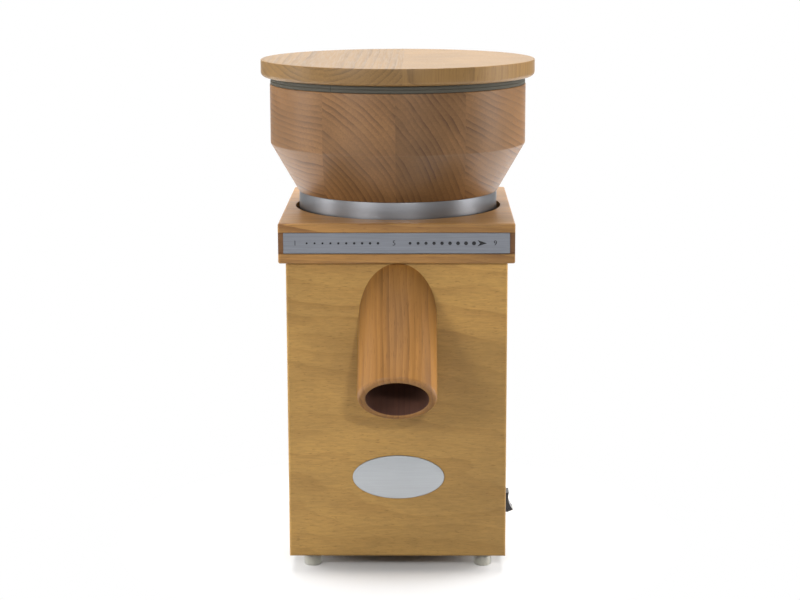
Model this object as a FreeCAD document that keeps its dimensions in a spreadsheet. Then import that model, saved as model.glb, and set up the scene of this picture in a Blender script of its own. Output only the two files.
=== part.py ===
import FreeCAD, Part
import math
import os

import Sketcher

# An electric grain mill: a wooden case on four feet holds an upright motor. Over it a chamber with a
# driven lower stone and a sprung upper stone hangs in the head. The hopper screws down on the upper
# stone, so that turning it sets how fine the mill grinds. Millimetres, +Z up, -Y is the spout's side,
# and the origin lies on the floor under the middle of the whole mill.

doc = FreeCAD.newDocument("GrainMill")
sheet = doc.addObject("Spreadsheet::Sheet", "Sizes")

SIZES = (
    # Clearances: between loose pieces, round screws, in running fits and between rubbing faces
    ("loose_gap", 0.3),
    ("screw_gap", 0.1),
    ("running_gap", 0.05),
    ("face_gap", 0.2),
    # How far a cut runs past a face, and a joined shape into its neighbour
    ("overrun", 1.0),
    # Case of four boards with glue blocks in its corners
    ("case_width", 143.4),
    ("case_depth", 161.0),
    ("case_height", 198.5),
    ("board_thick", 10.0),
    ("board_edge_radius", 1.6),
    ("glue_block_side", 16.0),
    ("base_thick", 6.0),
    ("vent_width", 4.0),
    ("vent_length", 60.0),
    ("vent_pitch", 9.0),
    ("vent_count", 6),
    ("vent_rear_inset", 52.0),
    # Feet
    ("foot_height", 10.2),
    ("foot_radius", 5.9),
    ("foot_side_inset", 14.7),
    ("foot_end_inset", 15.5),
    ("foot_edge_radius", 1.2),
    ("foot_screw_radius", 2.0),
    ("foot_screw_head_radius", 3.6),
    ("foot_screw_head_height", 2.4),
    ("foot_screw_recess", 3.5),
    ("foot_screw_length", 26.0),
    # Head block with its stepped hole and the groove for the scale
    ("head_width", 152.4),
    ("head_depth", 170.0),
    ("head_height", 26.1),
    ("head_edge_radius", 1.2),
    ("recess_radius", 69.7),
    ("recess_depth", 20.0),
    ("head_bore_radius", 58.0),
    ("scale_height", 13.4),
    ("scale_width", 145.6),
    ("scale_thick", 1.2),
    ("scale_rise", 6.5),
    ("groove_margin", 0.4),
    ("groove_depth", 2.0),
    # Oval plate on the front
    ("badge_length", 60.4),
    ("badge_height", 29.4),
    ("badge_thick", 1.2),
    ("badge_shift", 0.8),
    ("badge_rise", 65.2),
    # Spout and the chute behind it
    ("spout_radius", 25.3),
    ("spout_shift", 0.7),
    ("spout_bore_radius", 20.0),
    ("spout_tilt", 45.0),
    ("spout_head_gap", 0.6),
    ("spout_length", 62.2),
    ("spout_rim_radius", 2.4),
    ("spout_lip_radius", 1.2),
    ("chute_inside_width", 23.0),
    ("chute_wall", 1.5),
    ("chute_slope", 45.0),
    # Milling chamber
    ("chamber_radius", 53.0),
    ("chamber_wall", 4.0),
    ("chamber_floor", 6.0),
    ("chamber_depth", 40.8),
    ("flange_radius", 66.0),
    ("flange_thick", 3.2),
    ("window_height", 11.0),
    ("boss_radius", 4.0),
    ("boss_circle", 49.5),
    ("boss_top", 23.0),
    ("boss_height", 11.0),
    ("guide_pin_radius", 1.5),
    ("guide_pin_height", 14.8),
    ("guide_pin_seat", 9.0),
    ("spring_radius", 2.7),
    ("spring_wire", 0.7),
    ("spring_turns", 5),
    ("lug_width", 9.0),
    ("lug_thick", 6.0),
    ("lug_reach", 52.6),
    ("holder_wall", 2.4),
    ("holder_height", 15.0),
    ("holder_lip", 4.5),
    ("holder_lip_thick", 2.1),
    # Stones and what drives the lower one
    ("stone_radius", 42.5),
    ("stone_thick", 16.0),
    ("stone_gap", 0.9),
    ("eye_radius", 14.0),
    ("eye_mouth_radius", 20.0),
    ("furrow_count", 10),
    ("furrow_width", 3.0),
    ("furrow_depth", 0.8),
    ("furrow_inside", 24.0),
    ("furrow_land", 2.0),
    ("carrier_radius", 38.0),
    ("carrier_thick", 3.2),
    ("carrier_lift", 0.8),
    ("nose_radius", 10.8),
    ("nose_height", 10.0),
    ("wiper_count", 3),
    ("wiper_width", 5.0),
    ("wiper_height", 7.0),
    ("wiper_gap", 0.6),
    ("nose_screw_radius", 2.5),
    ("nose_screw_head_radius", 5.5),
    ("nose_screw_head_height", 4.5),
    ("nose_screw_length", 12.0),
    ("nose_screw_flange", 4.0),
    # Thread that the hopper turns on
    ("thread_radius", 57.7),
    ("thread_wall", 3.0),
    ("thread_length", 26.4),
    ("thread_web", 3.5),
    ("thread_top", 4.0),
    ("thread_top_radius", 65.0),
    ("nut_radius", 64.5),
    ("nut_height", 13.0),
    ("chamber_screw_circle", 61.3),
    ("chamber_screw_radius", 1.75),
    ("chamber_screw_head_radius", 2.9),
    ("chamber_screw_head_height", 2.0),
    ("chamber_screw_length", 21.5),
    # Hopper
    ("collar_wall", 1.8),
    ("collar_height", 23.6),
    ("hopper_foot_radius", 67.5),
    ("hopper_radius", 86.15),
    ("hopper_cone_height", 32.5),
    ("hopper_height", 72.0),
    ("hopper_wall", 9.0),
    ("hopper_floor", 8.0),
    ("funnel_rise", 35.4),
    ("throat_radius", 24.0),
    ("throat_foot_radius", 20.0),
    ("hopper_screw_circle", 61.4),
    ("hopper_screw_radius", 1.6),
    ("hopper_screw_head_radius", 2.8),
    ("hopper_screw_head_height", 1.8),
    ("hopper_screw_length", 11.0),
    ("seal_radius", 85.8),
    ("seal_height", 5.1),
    ("seal_width", 5.8),
    # Lid
    ("lid_radius", 92.1),
    ("lid_thick", 11.3),
    ("lid_edge_radius", 3.0),
    ("lid_top_edge_radius", 0.6),
    ("lid_plug_height", 6.0),
    # Motor, measured down from the underside of the chamber
    ("motor_radius", 50.0),
    ("shield_wall", 6.2),
    ("shield_plate", 8.0),
    ("upper_shield_height", 38.0),
    ("lower_shield_height", 30.0),
    ("lower_shield_plate", 5.0),
    ("stator_height", 46.0),
    ("stator_bore_radius", 27.5),
    ("air_gap", 0.4),
    ("slot_count", 12),
    ("slot_inside", 31.5),
    ("slot_outside", 42.0),
    ("slot_width", 6.0),
    ("slot_liner", 0.3),
    ("bar_inset", 1.2),
    ("winding_end_height", 16.0),
    ("winding_end_radius", 43.0),
    ("rotor_ring_height", 4.0),
    ("rotor_ring_width", 10.0),
    ("rotor_ring_inset", 1.0),
    ("shaft_radius", 6.0),
    ("shaft_tail", 11.0),
    ("bearing_radius", 16.0),
    ("bearing_width", 10.0),
    ("bearing_race", 3.2),
    ("ball_radius", 2.3),
    ("ball_count", 8),
    ("bearing_boss_wall", 3.5),
    ("fan_radius", 40.0),
    ("fan_height", 8.0),
    ("fan_plate", 1.5),
    ("fan_hub_radius", 12.0),
    ("fan_drop", 2.0),
    ("blade_count", 9),
    ("blade_thick", 1.6),
    ("tie_bolt_circle", 46.9),
    ("tie_bolt_radius", 1.6),
    ("tie_bolt_head_radius", 2.8),
    ("tie_bolt_head_height", 3.0),
    ("motor_screw_circle", 30.0),
    ("motor_screw_radius", 2.0),
    ("motor_screw_head_radius", 3.5),
    ("motor_screw_head_height", 2.4),
    ("motor_screw_sink", 0.4),
    ("motor_screw_length", 10.0),
    ("shaft_hole_radius", 8.0),
    ("felt_thick", 2.5),
    ("felt_radius", 12.0),
    # Capacitor, terminals and cable gland
    ("capacitor_radius", 14.0),
    ("capacitor_length", 58.0),
    ("capacitor_y", 40.0),
    ("capacitor_blade_spread", 5.0),
    ("capacitor_blade_width", 4.0),
    ("capacitor_blade_thick", 1.0),
    ("capacitor_blade_length", 5.0),
    ("clip_wall", 1.2),
    ("clip_width", 12.0),
    ("block_length", 36.0),
    ("block_depth", 16.0),
    ("block_height", 14.0),
    ("block_side_gap", 1.7),
    ("block_y", -50.0),
    ("block_bore_radius", 2.0),
    ("block_screw_radius", 1.4),
    ("gland_inset", 9.7),
    ("gland_rise", 32.0),
    ("gland_radius", 6.0),
    ("gland_head_radius", 9.0),
    ("gland_head_height", 3.0),
    ("gland_nose_radius", 6.5),
    ("gland_nose_height", 5.0),
    ("gland_nose_taper", 1.5),
    ("gland_bore_radius", 3.3),
    ("gland_tail", 8.0),
    ("gland_nut_height", 4.5),
    ("gland_nut_across", 16.0),
    # Rocker switch in the right-hand board
    ("switch_y", -35.0),
    ("switch_rise", 35.0),
    ("bezel_height", 20.0),
    ("bezel_width", 18.0),
    ("bezel_thick", 1.5),
    ("switch_height", 18.0),
    ("switch_width", 14.0),
    ("switch_depth", 21.0),
    ("switch_wall", 1.0),
    ("switch_well", 8.0),
    ("rocker_width", 11.6),
    ("rocker_half", 7.0),
    ("rocker_slant", 0.8),
    ("rocker_root_half", 5.8),
    ("rocker_root", 3.5),
    ("rocker_shoulder", 1.0),
    ("rocker_lip", 4.9),
    ("rocker_dip", 3.4),
    ("rocker_pivot", 0.5),
    ("rocker_pin_radius", 1.2),
    ("rocker_tilt", 13.0),
    ("terminal_length", 8.0),
    ("terminal_width", 6.3),
    ("terminal_thick", 0.8),
    ("terminal_spread", 6.0),
    # Leads inside the case
    ("lead_radius", 1.1),
    ("lead_hole_drop", 10.0),
    ("lead_exit", 15.5),
    ("lead_entry", 12.0),
    ("lead_reach", 13.0),
    ("lead_sag", 5.0),
)


class Size:
    """A length that carries both its value and the expression that gives it."""

    def __init__(self, text, value):
        self.text = text
        self.value = value

    def __add__(self, other):
        other = size_of(other)
        return Size("(%s + %s)" % (self.text, other.text), self.value + other.value)

    def __sub__(self, other):
        other = size_of(other)
        return Size("(%s - %s)" % (self.text, other.text), self.value - other.value)

    def __mul__(self, other):
        other = size_of(other)
        return Size("%s * %s" % (self.text, other.text), self.value * other.value)

    def __truediv__(self, other):
        other = size_of(other)
        return Size("%s / (%s)" % (self.text, other.text), self.value / other.value)

    def __neg__(self):
        return Size("(0 - %s)" % self.text, -self.value)

    def __radd__(self, other):
        return size_of(other) + self

    def __rsub__(self, other):
        return size_of(other) - self

    def __rmul__(self, other):
        return size_of(other) * self


def size_of(amount):
    """A Size from a Size or from a plain number."""
    if isinstance(amount, Size):
        return amount
    return Size("%r" % float(amount), float(amount))


def root_of(size):
    """The square root of a Size."""
    return Size("sqrt(%s)" % size.text, math.sqrt(size.value))


def sine(angle):
    """The sine of an angle in degrees."""
    return Size("sin(%s)" % angle.text, math.sin(math.radians(angle.value)))


def cosine(angle):
    """The cosine of an angle in degrees."""
    return Size("cos(%s)" % angle.text, math.cos(math.radians(angle.value)))


class SizeTable:
    """The driving sizes, read by name."""

    def __init__(self, rows):
        for row, (name, value) in enumerate(rows, start=1):
            sheet.set("A%d" % row, name)
            sheet.set("B%d" % row, str(value))
            sheet.setAlias("B%d" % row, name)
            setattr(self, name, Size("Sizes.%s" % name, float(value)))


mm = SizeTable(SIZES)
doc.recompute()

# Heights that follow from the driving sizes
case_bottom = mm.foot_height
case_top = case_bottom + mm.case_height
base_top = case_bottom + mm.base_thick
head_top = case_top + mm.head_height
ledge = head_top - mm.recess_depth
flange_top = ledge + mm.flange_thick
chamber_bottom = flange_top - mm.chamber_depth - mm.flange_thick
floor_top = chamber_bottom + mm.chamber_floor
carrier_bottom = floor_top + mm.carrier_lift
carrier_top = carrier_bottom + mm.carrier_thick
lower_stone_top = carrier_top + mm.stone_thick
upper_stone_bottom = lower_stone_top + mm.stone_gap
upper_stone_top = upper_stone_bottom + mm.stone_thick
holder_top = upper_stone_top + mm.holder_lip_thick
lug_bottom = holder_top - mm.lug_thick
boss_top = floor_top + mm.boss_top
nut_top = flange_top + mm.nut_height
thread_bottom = holder_top + mm.face_gap
hopper_bottom = thread_bottom + mm.thread_length
hopper_top = hopper_bottom + mm.hopper_height
lid_bottom = hopper_top + mm.seal_height
lid_top = lid_bottom + mm.lid_thick

# Plan places about the mill's upright axis
half_width = mm.case_width / 2
half_depth = mm.case_depth / 2
inner_half_width = half_width - mm.board_thick
inner_half_depth = half_depth - mm.board_thick
block_x = mm.glue_block_side + mm.block_side_gap + mm.block_length / 2 - inner_half_width
gland_x = inner_half_width - mm.glue_block_side - mm.gland_inset
bowl_inside = mm.hopper_radius - mm.hopper_wall

# The spout's mouth reaches furthest to the front and the lid furthest to the back,
# so the axis stands behind the middle of the whole by half of their difference.
spout_reach = (
    half_depth
    + (mm.spout_length - mm.spout_rim_radius) * cosine(mm.spout_tilt)
    + (mm.spout_radius - mm.spout_rim_radius) * sine(mm.spout_tilt)
    + mm.spout_rim_radius
)
axis_y = (spout_reach - mm.lid_radius) / 2

# Motor heights
motor_top = chamber_bottom
stator_top = motor_top - mm.upper_shield_height
stator_bottom = stator_top - mm.stator_height
motor_bottom = stator_bottom - mm.lower_shield_height
upper_bearing_bottom = motor_top - mm.shield_plate - mm.bearing_width
lower_bearing_bottom = motor_bottom + mm.lower_shield_plate
shaft_bottom = motor_bottom - mm.shaft_tail
shaft_top = carrier_top + mm.nose_height

# The spout meets the front board so low that its arch ends just under the head
spout_rise = case_top - mm.spout_head_gap - mm.spout_radius / cosine(mm.spout_tilt)

nodes = []


def vector(x, y, z=0.0):
    """A FreeCAD vector from Sizes or numbers."""
    return FreeCAD.Vector(size_of(x).value, size_of(y).value, size_of(z).value)


def bind(thing, name, size):
    """Ties one property to the sheet."""
    thing.setExpression(name, size_of(size).text)


def place(thing, x=0.0, y=0.0, z=0.0):
    """Puts a sub-part at a place from the mill's axis, tied to the sheet."""
    bind(thing, "Placement.Base.x", x)
    bind(thing, "Placement.Base.y", axis_y + y)
    bind(thing, "Placement.Base.z", z)


def keep(thing, label):
    """Names a finished sub-part and lists it for writing."""
    thing.Label = label
    nodes.append(thing)
    return thing


def new_body(name):
    """An empty body."""
    return doc.addObject("PartDesign::Body", name)


def origin_plane(body, role):
    """One of a body's own origin planes or axes."""
    for feature in body.Origin.OriginFeatures:
        if feature.Role == role:
            return feature
    raise ValueError(role)


def new_sketch(body, role="XY_Plane", offset=None):
    """A sketch on one of the body's origin planes, moved along the plane's normal."""
    sketch = body.newObject("Sketcher::SketchObject", body.Name + "Sketch")
    sketch.AttachmentSupport = (origin_plane(body, role), [""])
    sketch.MapMode = "FlatFace"
    if offset is not None:
        bind(sketch, "AttachmentOffset.Base.z", offset)
    return sketch


def pin_point(sketch, geometry, point, x, y):
    """Fixes one sketch point at a distance from the origin."""
    for kind, size in (("DistanceX", size_of(x)), ("DistanceY", size_of(y))):
        constraint = Sketcher.Constraint(kind, -1, 1, geometry, point, size.value)
        index = sketch.addConstraint(constraint)
        sketch.setExpression("Constraints[%d]" % index, size.text)


def outline(sketch, corners):
    """Draws a closed outline. A corner is (x, y), or (x, y, radius, centre_x, centre_y) for the
    start of an arc that runs to the next corner."""
    first = sketch.GeometryCount
    count = len(corners)
    for index, corner in enumerate(corners):
        following = corners[(index + 1) % count]
        start = vector(corner[0], corner[1])
        end = vector(following[0], following[1])
        if len(corner) == 2:
            sketch.addGeometry(Part.LineSegment(start, end), False)
        else:
            radius = size_of(corner[2])
            centre = vector(corner[3], corner[4])
            middle = centre + ((start + end) * 0.5 - centre).normalize() * radius.value
            clockwise = (start - centre).cross(end - centre).z < 0
            ends = (end, start) if clockwise else (start, end)
            sketch.addGeometry(Part.Arc(ends[0], middle, ends[1]), False)
    for index, corner in enumerate(corners):
        geometry = first + index
        following = first + (index + 1) % count
        start, end = line_ends(sketch, geometry, corner)
        next_start, next_end = line_ends(sketch, following, corners[(index + 1) % count])
        sketch.addConstraint(Sketcher.Constraint("Coincident", geometry, end, following, next_start))
        pin_point(sketch, geometry, start, corner[0], corner[1])
        if len(corner) > 2:
            radius = size_of(corner[2])
            bound = sketch.addConstraint(Sketcher.Constraint("Radius", geometry, radius.value))
            sketch.setExpression("Constraints[%d]" % bound, radius.text)


def line_ends(sketch, geometry, corner):
    """The point numbers of a curve's start and end as drawn: a clockwise arc is stored backwards."""
    curve = sketch.Geometry[geometry]
    if (curve.StartPoint - vector(corner[0], corner[1])).Length < 1e-6:
        return 1, 2
    return 2, 1


def circle(sketch, radius, x=0.0, y=0.0):
    """Draws a circle."""
    geometry = sketch.addGeometry(
        Part.Circle(vector(x, y), FreeCAD.Vector(0, 0, 1), size_of(radius).value), False)
    bound = sketch.addConstraint(Sketcher.Constraint("Radius", geometry, size_of(radius).value))
    sketch.setExpression("Constraints[%d]" % bound, size_of(radius).text)
    pin_point(sketch, geometry, 3, x, y)


def rectangle(sketch, left, right, low, high):
    """Draws a rectangle between two pairs of coordinates."""
    outline(sketch, [(left, low), (right, low), (right, high), (left, high)])


def pad(body, sketch, length, symmetric=False, back=False):
    """Raises a sketch into a solid."""
    feature = body.newObject("PartDesign::Pad", body.Name + "Pad")
    feature.Profile = sketch
    bind(feature, "Length", length)
    feature.Reversed = back
    if symmetric:
        feature.SideType = "Symmetric"
    body.Tip = feature
    return feature


def volume_of(body):
    """The body's volume after bringing it up to date."""
    doc.recompute()
    return body.Shape.Volume


def cut(body, sketch, length=None, along=False, symmetric=False):
    """Cuts a sketch out of the body. It cuts against the sketch's normal, or along it."""
    before = volume_of(body)
    feature = body.newObject("PartDesign::Pocket", body.Name + "Pocket")
    feature.Profile = sketch
    feature.Reversed = along
    if length is None:
        feature.Type = "ThroughAll"
        feature.SideType = "Symmetric"
    else:
        bind(feature, "Length", length)
        if symmetric:
            feature.SideType = "Symmetric"
    body.Tip = feature
    if volume_of(body) > before - 1e-3:
        raise RuntimeError("nothing was cut from %s" % body.Name)
    return feature


def repeat(body, feature, count, sketch):
    """Repeats a feature evenly round the sketch's normal."""
    pattern = body.newObject("PartDesign::PolarPattern", body.Name + "Ring")
    pattern.Originals = [feature]
    pattern.Axis = (sketch, ["N_Axis"])
    pattern.Angle = 360
    bind(pattern, "Occurrences", count)
    body.Tip = pattern
    return pattern


def turned(name, corners):
    """A body turned about its upright axis from a half section of (radius, height) corners."""
    body = new_body(name)
    sketch = new_sketch(body, "XZ_Plane")
    outline(sketch, corners)
    feature = body.newObject("PartDesign::Revolution", name + "Turned")
    feature.Profile = sketch
    feature.ReferenceAxis = (sketch, ["V_Axis"])
    feature.Angle = 360
    body.Tip = feature
    return body


def ring(inside, outside, low, high):
    """The half section of a plain ring."""
    return [(inside, low), (outside, low), (outside, high), (inside, high)]


def disc(outside, low, high):
    """The half section of a plain disc."""
    return ring(0.0, outside, low, high)


def round_edges(body, radius, chosen):
    """Rounds the edges for which chosen(edge) is true."""
    doc.recompute()
    base = body.Tip
    names = ["Edge%d" % (number + 1) for number, edge in enumerate(base.Shape.Edges) if chosen(edge)]
    if not names:
        raise RuntimeError("no edge to round on %s" % body.Name)
    feature = body.newObject("PartDesign::Fillet", body.Name + "Fillet")
    feature.Base = (base, names)
    bind(feature, "Radius", radius)
    body.Tip = feature
    return feature


def together(label, parts):
    """One node of several separate solids."""
    compound = doc.addObject("Part::Compound", label)
    compound.Links = parts
    return keep(compound, label)


def screw(name, head_radius, head_height, shank_radius, length):
    """A screw that hangs down from the underside of its head, which lies at height zero."""
    return turned(name, [
        (0.0, -length),
        (shank_radius, -length),
        (shank_radius, 0.0),
        (head_radius, 0.0),
        (head_radius, head_height),
        (0.0, head_height),
    ])


def screws(label, spots, upside_down, head_radius, head_height, shank_radius, length):
    """A node of equal screws at spots of (x, y, z) for the underside of each head."""
    made = []
    for number, (x, y, z) in enumerate(spots, start=1):
        body = screw("%s_%d" % (label, number), head_radius, head_height, shank_radius, length)
        if upside_down:
            body.Placement = FreeCAD.Placement(FreeCAD.Vector(), FreeCAD.Rotation(FreeCAD.Vector(1, 0, 0), 180))
        place(body, x, y, z)
        made.append(body)
    return together(label, made)


def around(radius, count, first_angle):
    """Spots evenly round the axis, as (x, y) pairs."""
    spots = []
    for number in range(count):
        angle = size_of(first_angle + 360.0 * number / count)
        spots.append((radius * cosine(angle), radius * sine(angle)))
    return spots


def corners_of(x, y):
    """The four corners at plus and minus x and y."""
    return [(-x, -y), (x, -y), (x, y), (-x, y)]


def is_upright(edge):
    """Whether an edge is straight and upright."""
    box = edge.BoundBox
    return box.XLength < 1e-6 and box.YLength < 1e-6


def build_boards():
    """The four boards of the case."""
    front = new_body("front_panel")
    sketch = new_sketch(front, "XZ_Plane", half_depth)
    rectangle(sketch, -half_width, half_width, case_bottom, case_top)
    pad(front, sketch, mm.board_thick, back=True)
    hole = new_sketch(front, "XZ_Plane", half_depth)
    half_hole = mm.chute_inside_width / 2 + mm.chute_wall + mm.loose_gap
    rectangle(hole, -half_hole, half_hole, chute_low_outside - mm.loose_gap, chute_high + mm.chute_wall + mm.loose_gap)
    cut(front, hole)
    outer = -half_depth.value
    round_edges(front, mm.board_edge_radius,
                lambda edge: edge.BoundBox.YLength < 1e-6
                and abs(edge.BoundBox.YMin - outer) < 1e-6
                and (is_upright(edge) and abs(abs(edge.BoundBox.XMin) - half_width.value) < 1e-6
                     or abs(edge.BoundBox.ZMax - case_bottom.value) < 1e-6))
    place(front)
    keep(front, "front_panel")

    back = new_body("back_panel")
    sketch = new_sketch(back, "XZ_Plane", -half_depth)
    rectangle(sketch, -half_width, half_width, case_bottom, case_top)
    pad(back, sketch, mm.board_thick)
    hole = new_sketch(back, "XZ_Plane", -half_depth)
    circle(hole, mm.gland_radius + mm.loose_gap, gland_x, mm.gland_rise)
    cut(back, hole)
    rear = half_depth.value
    round_edges(back, mm.board_edge_radius,
                lambda edge: edge.BoundBox.YLength < 1e-6
                and abs(edge.BoundBox.YMin - rear) < 1e-6
                and (is_upright(edge) and abs(abs(edge.BoundBox.XMin) - half_width.value) < 1e-6
                     or abs(edge.BoundBox.ZMax - case_bottom.value) < 1e-6))
    place(back)
    keep(back, "back_panel")

    for label, side in (("left_panel", -1), ("right_panel", 1)):
        panel = new_body(label)
        sketch = new_sketch(panel, "YZ_Plane", half_width * side)
        rectangle(sketch, -inner_half_depth, inner_half_depth, case_bottom, case_top)
        pad(panel, sketch, mm.board_thick, back=side > 0)
        if side > 0:
            hole = new_sketch(panel, "YZ_Plane", half_width)
            rectangle(hole,
                      mm.switch_y - mm.switch_width / 2 - mm.screw_gap,
                      mm.switch_y + mm.switch_width / 2 + mm.screw_gap,
                      mm.switch_rise - mm.switch_height / 2 - mm.screw_gap,
                      mm.switch_rise + mm.switch_height / 2 + mm.screw_gap)
            cut(panel, hole)
        place(panel)
        keep(panel, label)


def build_base():
    """The base with its vents, the glue blocks, and the feet with their screws."""
    foot_x = half_width - mm.foot_side_inset
    foot_y = half_depth - mm.foot_end_inset
    base = new_body("base_plate")
    sketch = new_sketch(base, "XY_Plane", case_bottom)
    edge_x = inner_half_width - mm.loose_gap
    edge_y = inner_half_depth - mm.loose_gap
    rectangle(sketch, -edge_x, edge_x, -edge_y, edge_y)
    pad(base, sketch, mm.base_thick)
    holes = new_sketch(base, "XY_Plane", case_bottom)
    for x, y in corners_of(foot_x, foot_y):
        circle(holes, mm.foot_screw_radius + mm.screw_gap, x, y)
    cut(base, holes)
    slot = new_sketch(base, "XY_Plane", base_top)
    rear = inner_half_depth - mm.vent_rear_inset
    rectangle(slot, -mm.vent_length / 2, mm.vent_length / 2, rear - mm.vent_width, rear)
    vent = cut(base, slot, mm.base_thick)
    row = base.newObject("PartDesign::LinearPattern", "base_plate_vents")
    row.Originals = [vent]
    row.Direction = (slot, ["V_Axis"])
    row.Reversed = True
    bind(row, "Length", mm.vent_pitch * (mm.vent_count - 1))
    bind(row, "Occurrences", mm.vent_count)
    base.Tip = row
    place(base)
    keep(base, "base_plate")

    blocks = []
    for number, (x, y) in enumerate(corners_of(inner_half_width, inner_half_depth), start=1):
        block = new_body("glue_block_%d" % number)
        sketch = new_sketch(block, "XY_Plane", base_top)
        inward_x = x - mm.glue_block_side * math.copysign(1, x.value)
        inward_y = y - mm.glue_block_side * math.copysign(1, y.value)
        outline(sketch, [(x, y), (inward_x, y), (inward_x, inward_y), (x, inward_y)])
        pad(block, sketch, case_top - base_top)
        pilot = new_sketch(block, "XY_Plane", base_top)
        spot_x = foot_x * math.copysign(1, x.value)
        spot_y = foot_y * math.copysign(1, y.value)
        circle(pilot, mm.foot_screw_radius + mm.screw_gap, spot_x, spot_y)
        cut(block, pilot, mm.foot_screw_length, along=True)
        place(block)
        blocks.append(block)
    together("glue_blocks", blocks)

    feet = []
    for number, (x, y) in enumerate(corners_of(foot_x, foot_y), start=1):
        edge = mm.foot_edge_radius
        foot = turned("foot_%d" % number, [
            (mm.foot_screw_head_radius + mm.loose_gap, 0.0),
            (mm.foot_radius - edge, 0.0, edge, mm.foot_radius - edge, edge),
            (mm.foot_radius, edge),
            (mm.foot_radius, mm.foot_height),
            (mm.foot_screw_radius + mm.screw_gap, mm.foot_height),
            (mm.foot_screw_radius + mm.screw_gap, mm.foot_screw_recess + mm.foot_screw_head_height),
            (mm.foot_screw_head_radius + mm.loose_gap, mm.foot_screw_recess + mm.foot_screw_head_height),
        ])
        place(foot, x, y)
        feet.append(foot)
    for foot, label in zip(feet, ("foot_front_left", "foot_front_right", "foot_back_right", "foot_back_left")):
        keep(foot, label)
    head_seat = mm.foot_screw_recess + mm.foot_screw_head_height
    spots = [(x, y, head_seat) for x, y in corners_of(foot_x, foot_y)]
    screws("foot_screws", spots, True, mm.foot_screw_head_radius, mm.foot_screw_head_height,
           mm.foot_screw_radius, mm.foot_screw_length)


def build_head():
    """The head block with its stepped hole, and the scale strip in its front."""
    head = new_body("head_block")
    half_x = mm.head_width / 2
    half_y = mm.head_depth / 2
    sketch = new_sketch(head, "XY_Plane", case_top)
    rectangle(sketch, -half_x, half_x, -half_y, half_y)
    pad(head, sketch, mm.head_height)
    round_edges(head, mm.head_edge_radius, lambda edge: True)
    recess = new_sketch(head, "XY_Plane", head_top)
    circle(recess, mm.recess_radius)
    cut(head, recess, mm.recess_depth)
    bore = new_sketch(head, "XY_Plane", head_top)
    circle(bore, mm.head_bore_radius)
    cut(head, bore)
    holes = new_sketch(head, "XY_Plane", ledge)
    for x, y in around(mm.chamber_screw_circle, 4, 45.0):
        circle(holes, mm.chamber_screw_radius + mm.screw_gap, x, y)
    cut(head, holes, mm.head_height - mm.recess_depth)
    scale_low = case_top + mm.scale_rise
    groove = new_sketch(head, "YZ_Plane", 0.0)
    rectangle(groove, -half_y - mm.overrun, -half_y + mm.groove_depth,
              scale_low - mm.groove_margin, scale_low + mm.scale_height + mm.groove_margin)
    cut(head, groove)
    place(head)
    keep(head, "head_block")

    scale = new_body("scale_strip")
    sketch = new_sketch(scale, "XZ_Plane", half_y - mm.groove_depth)
    rectangle(sketch, -mm.scale_width / 2, mm.scale_width / 2, scale_low, scale_low + mm.scale_height)
    pad(scale, sketch, mm.scale_thick)
    place(scale)
    keep(scale, "scale_strip")


def build_badge():
    """The bare oval plate on the front board."""
    oval = doc.addObject("Part::Ellipse", "badge_outline")
    bind(oval, "MajorRadius", mm.badge_length / 2)
    bind(oval, "MinorRadius", mm.badge_height / 2)
    plate = doc.addObject("Part::Extrusion", "oval_plate")
    plate.Base = oval
    plate.DirMode = "Normal"
    bind(plate, "LengthFwd", mm.badge_thick)
    plate.Solid = True
    plate.Placement = FreeCAD.Placement(FreeCAD.Vector(), FreeCAD.Rotation(FreeCAD.Vector(1, 0, 0), 90))
    place(plate, mm.badge_shift, -half_depth, mm.badge_rise)
    keep(plate, "oval_plate")


def build_spout():
    """The wooden spout, a tube cut off to lie against the front board."""
    length = mm.spout_length
    rim = mm.spout_rim_radius
    lip = mm.spout_lip_radius
    tangent = sine(mm.spout_tilt) / cosine(mm.spout_tilt)
    start = -(mm.spout_radius * tangent) - mm.overrun
    outer = mm.spout_radius
    bore = mm.spout_bore_radius
    spout = turned("outlet_spout", [
        (bore, start),
        (outer, start),
        (outer, length - rim, rim, outer - rim, length - rim),
        (outer - rim, length),
        (bore + lip, length, lip, bore + lip, length - lip),
        (bore, length - lip),
    ])
    wedge = new_sketch(spout, "YZ_Plane", 0.0)
    wide = outer + mm.overrun
    outline(wedge, [(-wide, wide * tangent), (wide, -(wide * tangent)), (wide, start - wide * tangent * 2),
                    (-wide, start - wide * tangent * 2)])
    cut(spout, wedge)
    tip = FreeCAD.Rotation(FreeCAD.Vector(1, 0, 0), 90 + mm.spout_tilt.value)
    spout.Placement = FreeCAD.Placement(FreeCAD.Vector(), tip)
    place(spout, mm.spout_shift, -half_depth, spout_rise)
    keep(spout, "outlet_spout")


# Chute from the chamber's window through the front board into the spout
chute_back = -(mm.chamber_radius + mm.chamber_wall + mm.loose_gap)
chute_front = -half_depth
chute_fall = (chute_back - chute_front) * sine(mm.chute_slope) / cosine(mm.chute_slope)
chute_low = floor_top - mm.face_gap
chute_high = floor_top + mm.window_height
chute_skin = mm.chute_wall / cosine(mm.chute_slope)
chute_low_outside = chute_low - chute_fall - chute_skin


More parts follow.
